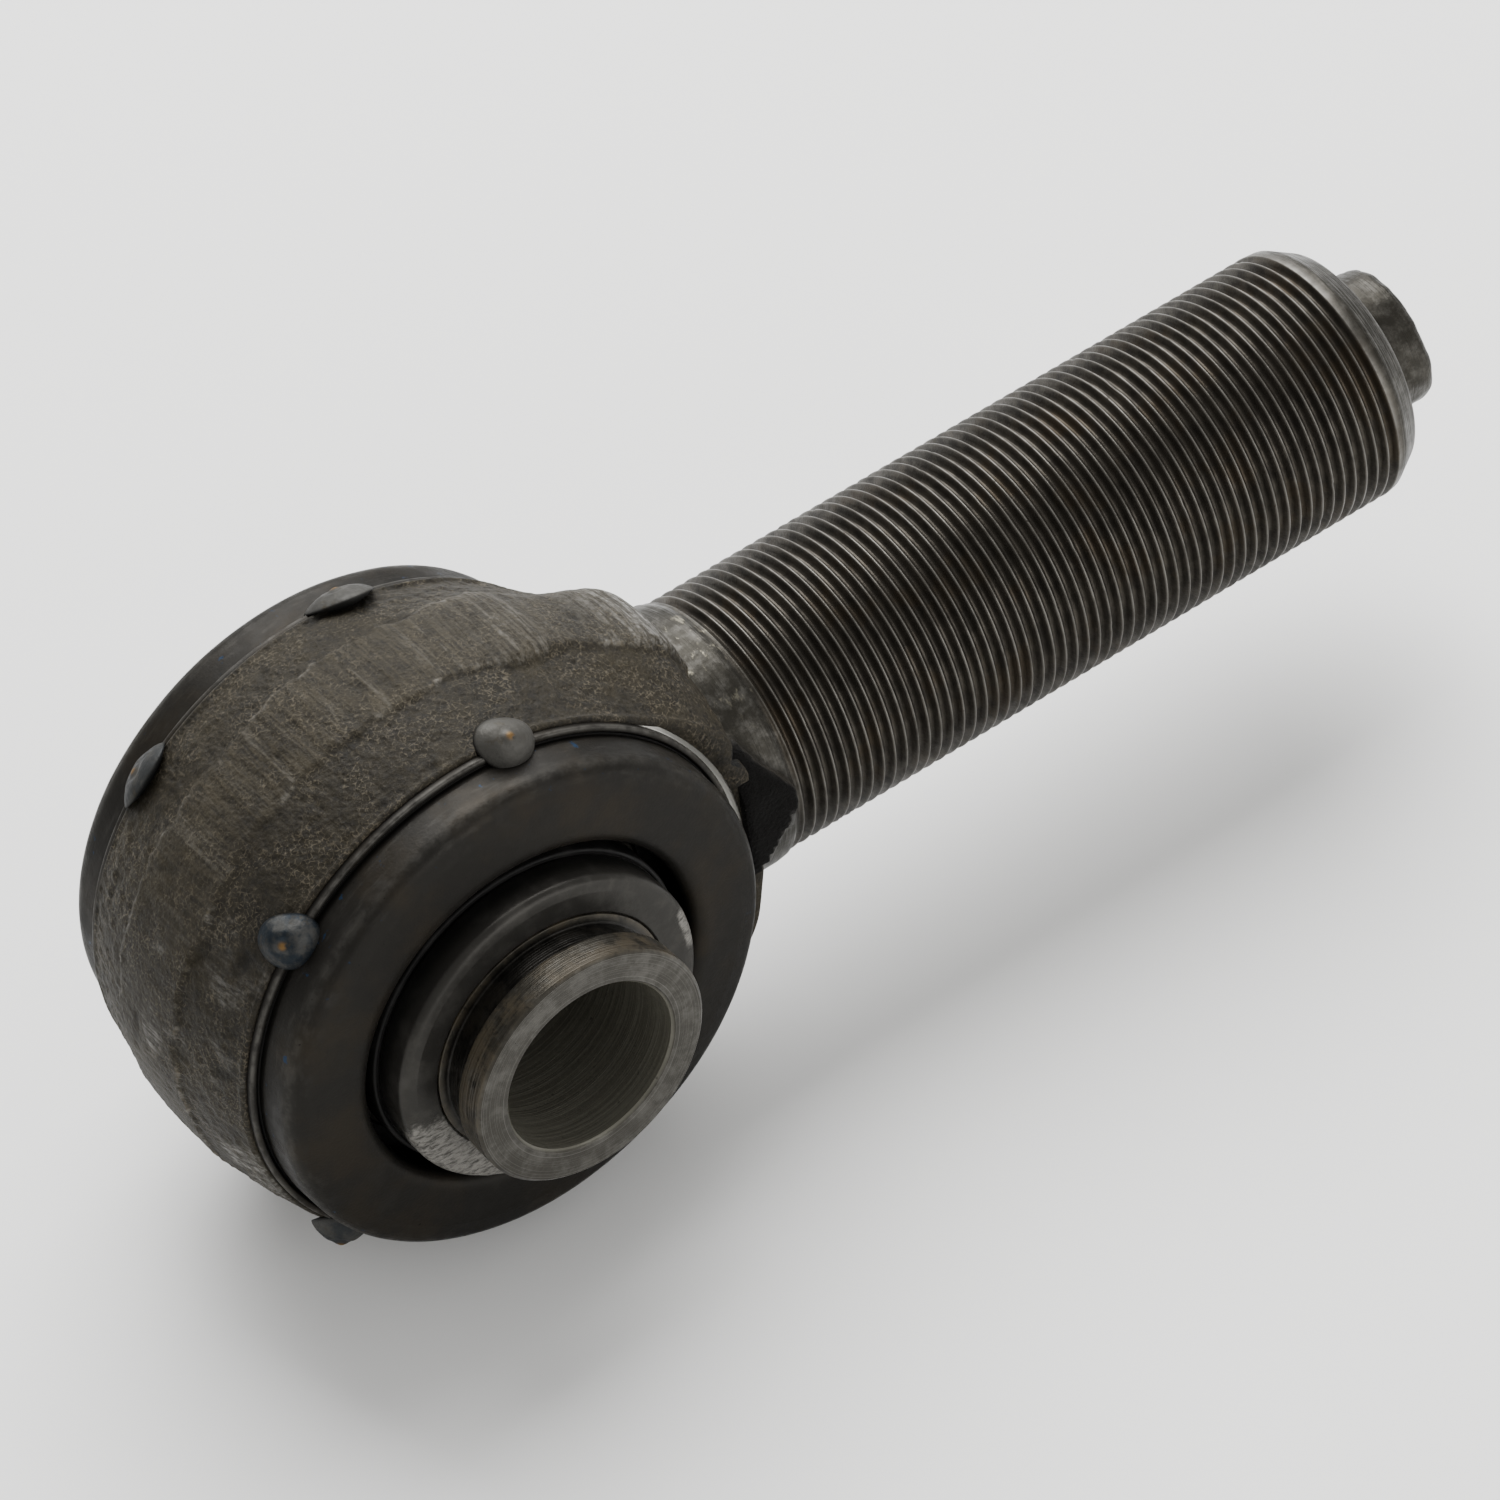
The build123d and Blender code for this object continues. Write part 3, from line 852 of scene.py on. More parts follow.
def eye_forging(sizes):
    """The eye as one closed ring of points: bore, near face, outer skin and far face, for 800
    angles. The faces follow the half width, which grows towards the shoulder's cheeks."""
    count, rows = 800, 96
    angle = around(count)[:, None]
    degrees = np.degrees(angle)
    half = mm(sizes.half_width)
    cheek = mm(sizes.shoulder_half_width) - half
    near_shank = step(46, 24, turn_gap(degrees, 0))
    share = np.sin(np.linspace(-1, 1, rows) * math.pi / 2 * 0.96) / math.sin(math.pi / 2 * 0.96)
    share = 0.45 * share + 0.55 * np.linspace(-1, 1, rows)
    share = share[None]
    width = half + cheek * near_shank
    y = share * width
    radius, channels = forging_surface(sizes, angle, y, share)
    edge = step(0.975, 1.0, np.abs(share))
    radius = radius - 0.25 * edge
    skin = joined(radius * np.cos(angle), y, radius * np.sin(angle))

    # a face: from the skin's last row inwards over the spot face to the bore
    faces = {}
    for side, sign in SIDES.items():
        outer = radius[:, :1] if sign < 0 else radius[:, -1:]
        rim = np.minimum(outer - 0.35, SPOT_FACE_RADIUS)
        floor_at = width - 0.22 * near_shank
        rows_in = [(outer - 0.15, width), (rim + 0.03, width), (rim - 0.05, floor_at),
                   (np.minimum(rim - 0.1, FACE_JOINT_RADIUS), floor_at), (30.2 + 0 * outer, half),
                   (28.3 + 0 * outer, half), (28.0 + 0 * outer, half - 0.3)]
        faces[side] = [joined(r * np.cos(angle), sign * h, r * np.sin(angle))
                       for r, h in rows_in]
    bore = [turned(np.array([[mm(sizes.bore_radius), y_at]]), count)
            for y_at in (-half * 0.5, 0.0, half * 0.5)]
    grid = np.concatenate(faces["near"][::-1] + [skin] + faces["far"] + bore[::-1], axis=1)
    inner = len(faces["near"])
    extra = grid.shape[1] - inner - rows
    channels = {name: np.pad(np.broadcast_to(values, (count, rows)), ((0, 0), (inner, extra)))
                for name, values in channels.items()}
    crescent = np.zeros(grid.shape[:2])
    crescent[:, inner - 4:inner - 2] = step(60, 42, turn_gap(degrees, 0))
    channels["faced"] = crescent
    return ring_piece("forged_eye", "eye", "forged_skin", grid, channels)


def shank_surface(sizes, eye, x, angle):
    """Radius and material channels of the shank at x and angle about its axis, atan2(z, y).
    The thread is nearly flat-topped, with straight flanks: it lies
    depth * clip((d - 0.10) / 0.70, 0, 1) + 0.05 * d below the crest, where d is the distance to the
    crest line as a share of half the pitch, and the crest line is at
    x = first crest + pitch * (turns + angle / full turn). Neck and chamfer cut it off."""
    pitch = mm(sizes.pitch)
    crest_radius = mm(sizes.thread_radius)
    turns = (x - mm(sizes.first_crest)) / pitch - angle / TURN
    off_crest = np.abs(turns - np.round(turns)) * 2
    cut = np.clip((off_crest - 0.10) / 0.70, 0, 1)
    place = joined(x, 15 * np.cos(angle), 15 * np.sin(angle))
    run_in = step(mm(sizes.thread_start) - 1.5, mm(sizes.thread_start) + 0.9, x)
    run_out = step(mm(sizes.thread_end) + 0.2, mm(sizes.thread_end) - 0.9, x)
    nicks = np.clip(rough_noise(place, 1.3, 61, 2) - 0.75, 0, 1) * (1 - cut)
    thread = crest_radius - mm(sizes.thread_depth) * cut * run_in * run_out - 0.05 * off_crest
    thread = thread - 0.35 * nicks * run_in
    neck = mm(eye.neck_radius)
    level = neck + (thread - neck) * step(36.6, 38.4, x + 0.25 * rough_noise(place, 3.0, 67, 2))
    slope = (crest_radius - mm(sizes.tip_radius)) / (mm(sizes.tip) - mm(sizes.thread_end))
    chamfer = crest_radius - (x - mm(sizes.thread_end)) * slope
    radius = np.minimum(level, chamfer)

    # the corner of rough forging that the lathe missed, low on the near side
    z, y = 15 * np.sin(angle), 15 * np.cos(angle)
    left = (37.8 - 0.72 * np.clip(z - 3.0, 0, 20) - 1.05 * np.clip(0.3 - z, 0, 20)
            + 0.35 * rough_noise(place, 2.5, 71, 3))
    missed = step(-0.4, 0.4, left - x) * step(-9.0, -7.0, z) * step(11.5, 9.5, z)
    missed = missed * step(-9, -11, y)
    flat = np.where(y < -8, 15.9 / np.maximum(-np.cos(angle), 0.5), 0)
    rough = 0.22 * rough_noise(place, 1.6, 73, 3)
    raised = np.clip(np.maximum(flat, neck + 0.50) + rough, 0, 16.6)
    radius = radius + missed * np.clip(raised - radius, 0, 2.5)
    bare = step(mm(sizes.thread_start) + 0.6, mm(sizes.thread_start) - 1.2, x) * (1 - missed)
    tip_band = step(mm(sizes.thread_end) - 0.5, mm(sizes.thread_end) + 0.3, x)
    channels = {
        # crest line lighter in the material: partly worn steel, partly painted highlight
        "crest": (1 - step(0.05, 0.16, off_crest)) * run_in * run_out * (1 - missed),
        "bare": np.maximum(bare, tip_band),
        "raw": missed,
        "torn": bare * step(-14, -2, y) * step(8, -2, y) * step(-2, 6, z) * (1 - missed),
    }
    return radius, channels


def stub_skin(sizes, angle):
    """End face and stub, turned about the shank's axis with a rough, slightly flattened skin. Gives
    the points, the number of rows and how far each row lies on the stub, from 0 to 1."""
    tip, face = mm(sizes.tip), mm(sizes.tip_radius)
    stub, end = mm(sizes.stub_radius), mm(sizes.stub_end)
    profile = rounded_path([(tip - 0.25, face + 0.05, 0), (tip, face - 0.25, 0.15),
                            (tip + 0.05, stub + 1.6, 0), (tip + 0.25, stub + 0.35, 0.5),
                            (tip + 1.2, stub - 0.1, 1.0), (end - 0.15, stub + 0.1, 1.3),
                            (end - 0.02, 3.0, 1.5), (end, 0.6, 0)], steps=8)
    profile = evenly(profile[1:], 0.55)
    profile_x, profile_radius = profile[:, :1], profile[:, 1:]
    x = profile_x + 0 * angle
    turn = angle + 0 * x
    on_stub = step(face - 2.5, stub + 0.6, profile_radius)
    flats = (1 - 0.05 * on_stub * np.cos(2 * (turn - 0.9)) ** 2
             - 0.01 * on_stub * np.cos(3 * turn + 0.4))
    place = joined(x, 8 * np.cos(turn), 8 * np.sin(turn))
    lump = rough_noise(place, 2.6, 79, 3)
    radius = profile_radius * flats + on_stub * 0.16 * (lump - 0.2)
    dent = 0.12 * on_stub * (rough_noise(place, 2.0, 83, 3) - 1) * step(tip + 1, tip + 3, profile_x)
    points = joined(x + dent, radius * np.cos(turn), radius * np.sin(turn)).reshape(-1, 3)
    return points, len(profile), on_stub


def shank_faces(count, per_turn, rows, starts):
    """Faces of the shank's skin, whose rings have count points. rows are the rings of the neck, of
    the helix and of all beyond it. starts are the first points of neck, helix, chamfer and stub,
    and of the two points that close the ends."""
    neck_rows, helix_rows, end_rows = rows
    helix, chamfer, ends = starts[1], starts[2], starts[4]
    ring = np.arange(count)
    last_row = helix_rows - 1

    def at(row, column):
        """The number of a point of the helix."""
        return helix + row * count + column

    quads = [grid_faces(neck_rows, count, False, True),
             grid_faces(end_rows, count, False, True, chamfer)]
    # on the helix, to the next angle of the row, and from the last angle to the row one turn on
    cell = at(np.arange(last_row)[:, None], ring[None, :-1])
    quads.append(np.stack([cell, cell + 1, cell + count + 1, cell + count], -1).reshape(-1, 4))
    row = np.arange(last_row - per_turn)
    last, next_turn = at(row, count - 1), at(row + per_turn, 0)
    quads.append(np.stack([last, next_turn, next_turn + count, last + count], -1))

    # from the neck's last ring to the helix's first turn, with a fan in the step
    neck_ring = helix - count + ring
    first_turn = np.append(at(0, ring), at(per_turn, 0))
    quads.append(np.stack([neck_ring, np.roll(neck_ring, -1), first_turn[1:], first_turn[:-1]], -1))
    seam = at(np.arange(per_turn + 1), 0)
    fans = [np.stack([np.full(per_turn, neck_ring[0]), seam[:-1], seam[1:]], -1)]

    # from the helix's last row to the chamfer's first ring, with a fan in the step
    out_ring = chamfer + ring
    last_turn = at(last_row, ring)
    quads.append(np.stack([last_turn[:-1], last_turn[1:], np.roll(out_ring, -2)[:-1],
                           out_ring[1:]], -1))
    edge = at(np.arange(last_row - per_turn, last_row + 1), count - 1)
    fans.append(np.stack([np.full(per_turn, out_ring[0]), edge[1:], edge[:-1]], -1))
    fans.append(np.array([[out_ring[0], last_turn[0], out_ring[1]],
                          [last_turn[0], out_ring[0], edge[0]]]))
    fans.append(fan_faces(ends, ring)[:, ::-1])
    fans.append(fan_faces(ends + 1, ends - count + ring))
    return quads + fans


def threaded_shank(sizes, eye):
    """Neck, thread, chamfer, end face and stub as one closed skin. The thread's rows follow the
    helix: row j at angle a lies at x = start + pitch * (row's share of a turn + a / full turn), and
    after a full turn it meets the row one turn on. Each plain ring next to the helix is turned by
    half a step, and a fan closes the step where the helix begins or ends."""
    count = 132
    pitch = mm(sizes.pitch)
    tip = mm(sizes.tip)
    # where one turn of the thread has its rows, from crest to crest
    places = np.array((0.0, 0.055, 0.12, 0.26, 0.40, 0.46, 0.54, 0.60, 0.74, 0.88, 0.945))
    start = mm(sizes.first_crest) - pitch
    whole_turns = int((mm(sizes.thread_end) + 0.4 - start) / pitch) - 1
    turn_at = (np.arange(whole_turns)[:, None] + places).reshape(-1)
    turn_at = np.append(turn_at, whole_turns)
    angle = around(count)
    plain_angle = angle - TURN / count / 2
    neck_x = np.array((31.0, 32.0, 33.0, 33.6, 34.2, 34.8, 35.4, 35.8, 36.15))[:, None] + 0 * angle
    helix_x = start + pitch * (turn_at[:, None] + angle / TURN)
    chamfer_x = np.linspace(helix_x[-1, -1] + 0.25, tip - 0.25, 8)[:, None] + 0 * angle

    parts, channel_parts = [], []
    for x, turn in ((neck_x, plain_angle), (helix_x, angle), (chamfer_x, plain_angle)):
        radius, values = shank_surface(sizes, eye, x, turn)
        parts.append(joined(x, radius * np.cos(turn), radius * np.sin(turn)).reshape(-1, 3))
        channel_parts.append(spread(values, x.shape))
    stub_points, stub_rows, on_stub = stub_skin(sizes, plain_angle)
    stub_values = {"crest": 0.0, "bare": 0.8 + 0.1 * on_stub, "raw": 0.06 * on_stub, "torn": 0.0}
    channel_parts.append(spread(stub_values, (stub_rows, count)))
    channel_parts.append(spread(dict.fromkeys(stub_values, 0.0), 2))
    parts.append(stub_points)
    starts = np.cumsum([0] + [len(part) for part in parts])
    parts.append([(neck_x[0, 0], 0, 0), (mm(sizes.stub_end) - 0.02, 0, 0)])

    rows = (len(neck_x), len(helix_x), len(chamfer_x) + stub_rows)
    faces = shank_faces(count, len(places), rows, starts)
    channels = {name: np.concatenate([part[name] for part in channel_parts])
                for name in stub_values}
    return make_piece("threaded_shank", "eye", finish_named("rolled_thread"),
                      np.concatenate(parts), faces, channels)


# ---------------------------------------------------------------- the bush

def closing_ring(sizes, side):
    """Pressed ring turned about the bore's axis: lip, groove, wall, rounded shoulder, a face that
    rises towards the opening, and the rolled-in opening. Its back is closed inside the eye."""
    sign = SIDES[side]
    lip, wall = mm(sizes.lip_radius), mm(sizes.ring_radius)
    top, opening = mm(sizes.ring_reach), mm(sizes.opening_radius)
    foot = mm(bpy.context.scene.rod_eye.half_width)
    corners = [(25.5, foot, 0), (lip, foot, 0.05), (lip, foot + 0.85, 0.30),
               (lip - 0.65, foot + 0.95, 0.2), (wall + 0.15, foot + 0.55, 0.12),
               (wall - 0.1, foot + 0.75, 0.15), (wall, foot + 1.6, 0.5),
               (wall - 0.15, top - 1.35, 2.2), (wall - 3.2, top - 0.62, 2.0),
               (opening, top - 0.02, 1.8), (opening + 0.1, top - 3.0, 0.3),
               (25.4, top - 3.9, 0.6)]
    profile = evenly(rounded_path(corners, closed=True, steps=7), 0.5, closed=True)
    count = 300
    grid = turned(profile * np.array((1, sign)), count)
    radius, height = profile[:, 0], profile[:, 1]
    wobble = rough_noise(grid, 9.0, 91, 2)
    outside = step(foot + 1.0, foot + 2.4, height) * step(opening + 0.5, opening + 2.0, radius)
    grid[..., 1] -= sign * 0.05 * (wobble + 1) * outside
    on_wall = step(foot + 0.8, foot + 1.8, height) * step(wall - 3.0, wall - 1.0, radius)
    lip_edge = step(lip - 0.55, lip - 0.1, radius) * step(foot + 0.4, foot + 0.75, height)
    groove = np.exp(-((radius - wall - 0.1) / 0.22) ** 2) * step(foot + 1.5, foot + 0.9, height)
    shoulder = np.exp(-((radius - wall + 0.35) / 0.35) ** 2 - ((height - top + 2.2) / 0.8) ** 2)
    inside = step(top - 0.8, top - 1.6, height) * step(wall - 1.5, wall - 2.2, radius)
    channels = {"wall": on_wall,
                # edge: lip edge and shoulder lighter, partly rubbed steel and partly painted highlight
                "edge": np.clip(0.35 * lip_edge + 0.14 * shoulder, 0, 1),
                # dark: painted shade in the groove behind the lip and inside the opening
                "dark": np.clip(groove + 0.85 * inside, 0, 1)}
    return ring_piece(f"ring_{side}", "eye", "pressed_ring", grid, channels)


def weld_bead(sizes, angle_degrees, sign, height, seed):
    """One tack weld: a low dome, height = h * (1 - q^2)^0.78 with q the share of its radius, laid
    on the joint of ring and eye and leaning outwards, with uneven edge, ripples, and a small
    crater with a slag grain beside its middle. Its underside is a shallow cone into the joint. The
    ones on the far side are broader."""
    rings, count = 22, 64
    seat_radius, seat_height = 30.7, 14.05
    radius = mm(sizes.bead_radius) * (1.15 if sign > 0 else 1.0)
    share = np.linspace(0, 1, rings + 1)[1:, None] ** 0.8
    angle = around(count)
    outline = 1 + 0.07 * np.cos(2 * angle + seed) + 0.04 * np.cos(3 * angle + 2.3 * seed)
    across = radius * share * outline * np.cos(angle)
    along = radius * share * outline * np.sin(angle) * 0.93
    dome = height * np.clip(1 - share ** 2, 0, 1) ** 0.78
    local = joined(across, along, dome)
    dome = dome + 0.10 * (rough_noise(local + seed * 7.0, 1.8, 97, 2)) * (1 - share ** 4)
    spot = np.hypot(across - 0.25, along + 0.30)
    dome = dome + 0.10 * np.exp(-(spot / 0.40) ** 2) - 0.12 * np.exp(-((spot - 0.95) / 0.35) ** 2)
    slag = np.exp(-(spot / 0.42) ** 4)
    rim = 0.6 * step(0.94, 1.0, share) + 0 * angle
    turn = math.radians(angle_degrees)
    outward = np.array((math.cos(turn), 0, math.sin(turn)))
    sideways = np.array((-math.sin(turn), 0, math.cos(turn)))
    axis = np.array((0, sign, 0))
    lean = math.radians(40)
    normal = outward * math.cos(lean) + axis * math.sin(lean)
    slope = axis * math.cos(lean) - outward * math.sin(lean)
    centre = outward * seat_radius + axis * seat_height
    points = (centre + across[..., None] * sideways + along[..., None] * slope
              + dome[..., None] * normal - 0.12 * normal)
    top = centre + (height - 0.10) * normal - 0.12 * normal
    under = centre - 1.5 * normal
    points = np.concatenate([points.reshape(-1, 3), [top, under]])
    middle = rings * count
    faces = [grid_faces(rings, count, False, True),
             fan_faces(middle, np.arange(count))[:, ::-1],
             fan_faces(middle + 1, (rings - 1) * count + np.arange(count))]
    channels = {"slag": np.append(slag.reshape(-1), [0.0, 0.0]),
                "rim": np.append(rim.reshape(-1), [0.0, 1.0]),
                "blued": np.full(len(points), BLUED[int(seed) % len(BLUED)])}
    return points, faces, channels


def weld_beads(sizes, side):
    """The four tack welds of one side as one piece."""
    all_points, all_faces = [], []
    channels = {"slag": [], "rim": [], "blued": []}
    first = 0
    for seed, angle in enumerate(BEAD_ANGLES[side]):
        height = mm(sizes.bead_height) * (0.62 if side == "far" else 1.0)
        points, faces, values = weld_bead(sizes, angle, SIDES[side], height,
                                          seed + 1 + 4 * (side == "far"))
        if enclosed(points, faces) < 0:
            faces = [group[:, ::-1] for group in faces]
        all_points.append(points)
        all_faces += [group + first for group in faces]
        first += len(points)
        for name in channels:
            channels[name].append(values[name])
    channels = {name: np.concatenate(parts) for name, parts in channels.items()}
    return make_piece(f"beads_{side}", "eye", finish_named("weld_metal"),
                      np.concatenate(all_points), all_faces, channels)


def ball_sleeve(sizes):
    """The sleeve turned about the bore's axis: bore, chamfered end faces, lands, grooves and the
    ball, r = sqrt(ball^2 - y^2), mirrored about the middle."""
    bore, land = mm(sizes.bore_radius), mm(sizes.sleeve_radius)
    reach, ball = mm(sizes.sleeve_reach), mm(sizes.ball_radius)
    collar_front = mm(sizes.collar_reach)
    groove = land - 1.0
    half = rounded_path([(bore, 0, 0), (bore, -reach + 0.35, 0.08), (bore + 0.32, -reach, 0.06),
                         (land - 0.35, -reach, 0.08), (land, -reach + 0.35, 0.08),
                         (land, -reach + 3.5, 0.15), (groove, -reach + 3.7, 0.3),
                         (groove, -collar_front - 0.25, 0.3), (land, -collar_front - 0.05, 0.1),
                         (land, -math.sqrt(ball ** 2 - land ** 2) - 0.4, 0.4),
                         (land + 0.02, -math.sqrt(ball ** 2 - land ** 2), 0)], steps=5)
    tilt = np.linspace(-math.acos(land / ball), 0, 16)[1:]
    dome = np.stack([ball * np.cos(tilt), ball * np.sin(tilt)], axis=-1)
    half = np.concatenate([half, dome])
    half = evenly(half, 0.7)
    mirrored = half[::-1][1:-1] * np.array((1, -1))
    profile = np.concatenate([half, mirrored])
    count = 240
    grid = turned(profile, count)
    radius, y = profile[:, 0], np.abs(profile[:, 1])
    face = step(reach - 0.25, reach - 0.05, y)
    side = step(land - 0.8, land - 0.2, radius) * (1 - face)
    in_bore = step(bore + 0.25, bore + 0.05, radius) * (1 - face)
    # painted shade in the groove next to the collar, which also takes the side's stain
    dark = (radius < land - 0.5) & (y < reach - 3.4) & (radius > bore + 1)
    channels = {"face": face, "side": np.maximum(side, 1.0 * dark), "bore": in_bore,
                "radial": radius, "dark": 0.85 * dark}
    return ring_piece("sleeve", "inner", "turned_sleeve", grid, channels, sharp=34.0)


def collar(sizes, side):
    """Ring round the sleeve with a broad rounded outer edge and a face that falls slightly
    outwards. Its edge is rubbed bright low on the left and carries a painted reflection on the right,
    and the back of its side wall carries painted shade."""
    sign = SIDES[side]
    outer, inner = mm(sizes.collar_radius), mm(sizes.sleeve_radius)
    front = mm(sizes.collar_reach)
    back = front - mm(sizes.collar_height)
    profile = rounded_path([(inner, back, 0.1), (outer, back, 0.4), (outer, front - 0.35, 1.0),
                            (outer - 1.6, front - 0.05, 1.2), (inner + 0.25, front, 0.15),
                            (inner, front - 0.3, 0.1)], closed=True, steps=8)
    profile = evenly(profile, 0.35, closed=True)
    count = 280
    grid = turned(profile * np.array((1, sign)), count)
    angle = np.degrees(around(count))[:, None]
    radius, height = profile[:, 0], profile[:, 1]
    edge = step(outer - 2.0, outer - 0.6, radius) * step(front - 3.2, front - 1.0, height)
    front_face = step(front - 0.5, front - 0.1, height)
    low_left = step(44, 18, turn_gap(angle, -138)) * (edge + 0.8 * front_face)
    # a painted reflection on the right of the edge, kept in the channel bare
    right = step(15, 4, turn_gap(angle, 9)) * edge * 0.8
    dents = rough_noise(grid, 1.0, 101, 3)
    grid[..., 1] += -sign * 0.10 * np.clip(dents + 0.2, 0, 1) * np.clip(low_left, 0, 1)
    # painted shade on the back of the side wall, inside the gap to the ring
    dark = step(front - 1.6, front - 3.6, height) * step(inner + 1, outer - 0.5, radius)
    channels = {"bare": np.clip(low_left + right, 0, 1), "dark": 0.7 * dark}
    return ring_piece(f"turned_collar_{side}", "inner", "dark_collar", grid,
                      channels)


def rubber_seal(sizes, side):
    """Rubber ring behind the collar with a thin lip that stands up round it, turned about the
    bore's axis."""
    sign = SIDES[side]
    inner, collar_edge = mm(sizes.sleeve_radius) + 0.02, mm(sizes.collar_radius)
    front = mm(sizes.collar_reach) - mm(sizes.collar_height)
    outer = collar_edge + 0.6
    lip = mm(sizes.ring_reach) - 1.7
    profile = rounded_path([(inner, front - 3.15, 0.1), (outer, front - 3.15, 0.4),
                            (outer, lip, 0.28), (collar_edge + 0.05, lip, 0.26),
                            (collar_edge + 0.03, front - 0.02, 0.03), (inner, front - 0.02, 0.1)],
                           closed=True, steps=5)
    profile = evenly(profile, 0.7, closed=True)
    grid = turned(profile * np.array((1, sign)), 200)
    return ring_piece(f"rubber_seal_{side}", "inner", "moulded_rubber", grid)


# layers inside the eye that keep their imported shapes, each with a near and a far one
HIDDEN_FINISHES = {
    "moulded_rubber": ("inner_rubber", "outer_rubber"),
    "drawn_steel": ("mid_shell", "outer_shell", "support_ring"),
}


# ---------------------------------------------------------------- operators

class ROD_OT_forging(bpy.types.Operator):
    """Make the forged eye and its threaded shank"""
    bl_idname = "rod_end.forging"
    bl_label = "Forging"

    def execute(self, context):
        scene = context.scene
        eye = eye_forging(scene.rod_eye)
        shank = threaded_shank(scene.rod_shank, scene.rod_eye)
        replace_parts(eye, "rod_head")
        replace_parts(shank, "rod_head")
        return {"FINISHED"}


class ROD_OT_closing_rings(bpy.types.Operator):
    """Make the two pressed closing rings"""
    bl_idname = "rod_end.closing_rings"
    bl_label = "Closing rings"

    def execute(self, context):
        for side in SIDES:
            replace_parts(closing_ring(context.scene.rod_bush, side), f"closing_ring_{side}")
        return {"FINISHED"}


class ROD_OT_weld_beads(bpy.types.Operator):
    """Make the tack welds that hold the rings"""
    bl_idname = "rod_end.weld_beads"
    bl_label = "Weld beads"

    def execute(self, context):
        for side in SIDES:
            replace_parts(weld_beads(context.scene.rod_bush, side), f"weld_beads_{side}")
        return {"FINISHED"}


class ROD_OT_sleeve(bpy.types.Operator):
    """Make the ball sleeve"""
    bl_idname = "rod_end.sleeve"
    bl_label = "Ball sleeve"

    def execute(self, context):
        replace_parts(ball_sleeve(context.scene.rod_bush), "ball_sleeve")
        return {"FINISHED"}


class ROD_OT_collars(bpy.types.Operator):
    """Make the two collars on the sleeve"""
    bl_idname = "rod_end.collars"
    bl_label = "Collars"

    def execute(self, context):
        for side in SIDES:
            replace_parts(collar(context.scene.rod_bush, side), f"collar_{side}")
        return {"FINISHED"}


class ROD_OT_seals(bpy.types.Operator):
    """Make the rubber seals behind the collars"""
    bl_idname = "rod_end.seals"
    bl_label = "Seals"

    def execute(self, context):
        for side in SIDES:
            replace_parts(rubber_seal(context.scene.rod_bush, side), f"seal_{side}")
        return {"FINISHED"}


class ROD_OT_hidden_layers(bpy.types.Operator):
    """Give the rubber layers, shells and support rings inside the eye their finishes"""
    bl_idname = "rod_end.hidden_layers"
    bl_label = "Hidden layers"

    def execute(self, context):
        for finish, layers in HIDDEN_FINISHES.items():
            for name in [f"{layer}_{side}" for layer in layers for side in SIDES]:
                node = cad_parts[name]
                if not len(node.data.materials):
                    node.data.materials.append(finish_named(finish))
                for slot in node.material_slots:
                    slot.material = finish_named(finish)
        return {"FINISHED"}


def placed(right, up, back, position):
    """The matrix of a light or camera from its three directions and its place."""
    return Matrix([*zip(right, up, back, position), (0, 0, 0, 1)])


def area_light(name, position, target, size, power):
    """A square soft light at position, looking at target."""
    data = bpy.data.lights.new(name, "AREA")
    data.shape = "SQUARE"
    data.size = size
    data.energy = power
    light = bpy.data.objects.new(name, data)
    back = np.array(position, float) - np.array(target, float)
    back /= np.linalg.norm(back)
    right = np.cross((0.0, 1.0, 0.02), back)
    right /= np.linalg.norm(right)
    up = np.cross(back, right)
    light.matrix_world = placed(right, up, back, position)
    bpy.context.scene.collection.objects.link(light)
    return light


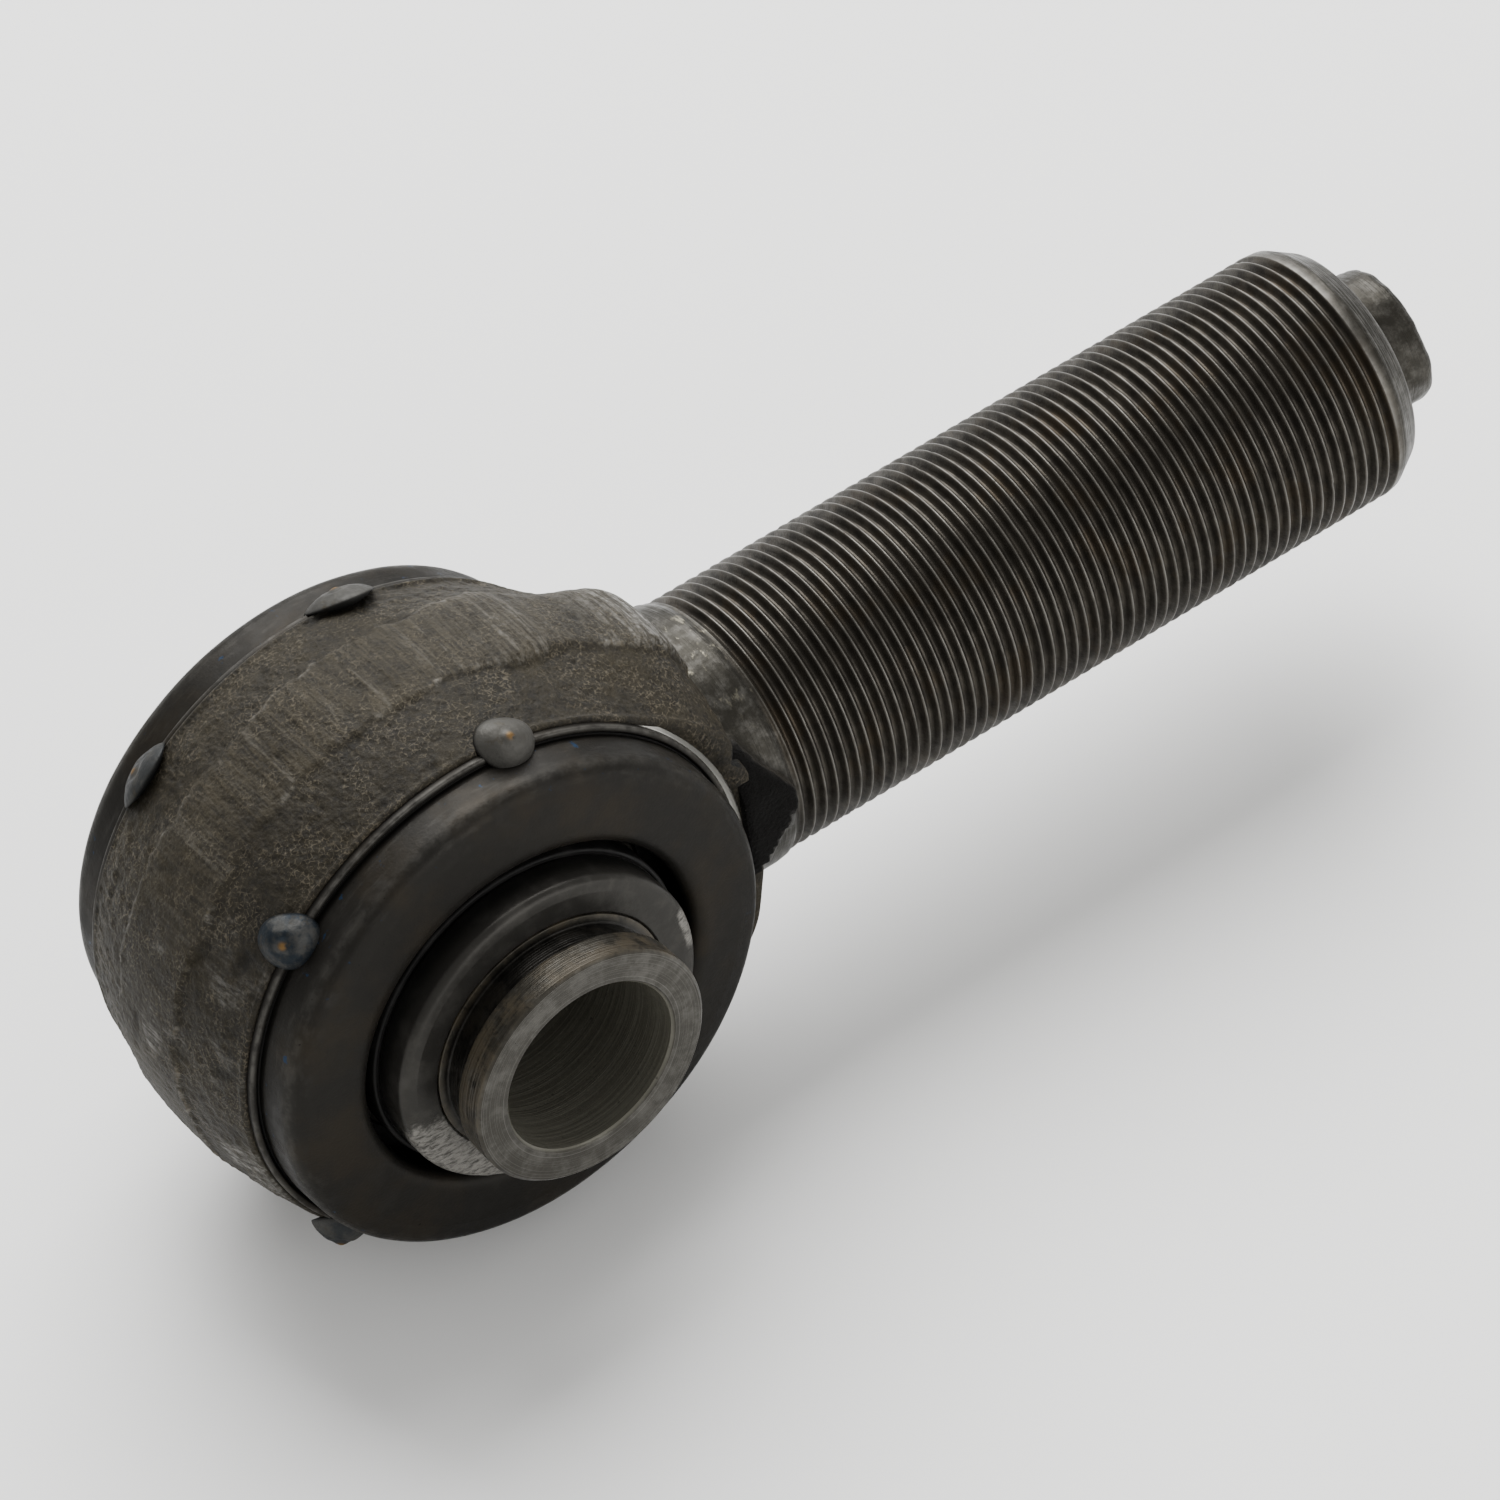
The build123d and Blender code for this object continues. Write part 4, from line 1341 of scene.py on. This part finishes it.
class ROD_OT_studio(bpy.types.Operator):
    """Make the floor, the soft lights and the camera"""
    bl_idname = "rod_end.studio"
    bl_label = "Studio"

    def execute(self, context):
        settings = context.scene.rod_studio
        half = settings.floor_size / 2
        level = CAD_BOX[0][2] - 0.0002
        mesh = bpy.data.meshes.new("floor")
        mesh.from_pydata([(-half, -half, level), (half, -half, level), (half, half, level),
                          (-half, half, level)], [], [(0, 1, 2, 3)])
        pale = Finish("pale_floor", 0.0, 0.8, specular=0.2)
        shade = pale.noise(400.0, detail=2.0)
        tone = settings.floor_colour
        pale.wear(pale.mix(tone, shaded(tone, 0.985), shade), 0.8,
                  pale.bump(pale.noise(3.0), 0.01))
        mesh.materials.append(pale.material)
        floor = bpy.data.objects.new("floor", mesh)
        bpy.context.scene.collection.objects.link(floor)

        world = bpy.data.worlds.new("white_room")
        world.use_nodes = True
        background = world.node_tree.nodes["Background"]
        background.inputs["Color"].default_value = (1.0, 0.995, 0.985, 1.0)
        background.inputs["Strength"].default_value = settings.world_level
        context.scene.world = world
        middle = (0.04, 0.0, 0.0)
        area_light("overhead", (0.42, 0.66, 1.00), middle, 1.2, settings.key_power)
        area_light("front_fill", (0.35, -1.00, 0.14), middle, 0.9, settings.fill_power)

        camera_data = bpy.data.cameras.new("camera")
        camera_data.sensor_width = 36.0
        camera_data.lens = 231.07
        camera_data.clip_end = 20.0
        camera = bpy.data.objects.new("camera", camera_data)
        right = (0.80143, -0.59032, -0.09614)
        up = (0.47300, 0.52732, 0.70590)
        back = (-0.36604, -0.61122, 0.70177)
        position = (-0.327947, -0.617710, 0.703472)
        camera.matrix_world = placed(right, up, back, position)
        context.scene.collection.objects.link(camera)
        context.scene.camera = camera
        return {"FINISHED"}


class ROD_PT_panel(bpy.types.Panel):
    """Sidebar panel that lists the pieces"""
    bl_idname = "ROD_PT_panel"
    bl_label = "Rod end bearing"
    bl_space_type = "VIEW_3D"
    bl_region_type = "UI"
    bl_category = "Rod end"

    def draw(self, context):
        for operator in OPERATORS:
            self.layout.operator(operator.bl_idname)
        for name in SETTINGS:
            group = getattr(context.scene, name)
            box = self.layout.box()
            box.label(text=name)
            for prop in group.bl_rna.properties:
                if prop.identifier not in ("rna_type", "name"):
                    box.prop(group, prop.identifier)


SETTINGS = {
    "rod_eye": EyeSizes,
    "rod_shank": ShankSizes,
    "rod_bush": BushSizes,
    "rod_finish": FinishColours,
    "rod_studio": StudioSettings,
}
OPERATORS = (ROD_OT_forging, ROD_OT_closing_rings, ROD_OT_weld_beads, ROD_OT_sleeve,
             ROD_OT_collars, ROD_OT_seals, ROD_OT_hidden_layers, ROD_OT_studio)


def register():
    """Registers the settings, operators and panel."""
    for name, group in SETTINGS.items():
        bpy.utils.register_class(group)
        setattr(bpy.types.Scene, name, bpy.props.PointerProperty(type=group))
    for item in OPERATORS + (ROD_PT_panel,):
        bpy.utils.register_class(item)


def unregister():
    """Removes them again."""
    for item in (ROD_PT_panel,) + OPERATORS[::-1]:
        bpy.utils.unregister_class(item)
    for name, group in SETTINGS.items():
        delattr(bpy.types.Scene, name)
        bpy.utils.unregister_class(group)


def main():
    """Makes everything."""
    register()
    bpy.ops.rod_end.forging()
    bpy.ops.rod_end.closing_rings()
    bpy.ops.rod_end.weld_beads()
    bpy.ops.rod_end.sleeve()
    bpy.ops.rod_end.collars()
    bpy.ops.rod_end.seals()
    bpy.ops.rod_end.hidden_layers()
    bpy.ops.rod_end.studio()
    bpy.context.view_layer.update()


if __name__ == "__main__":
    main()
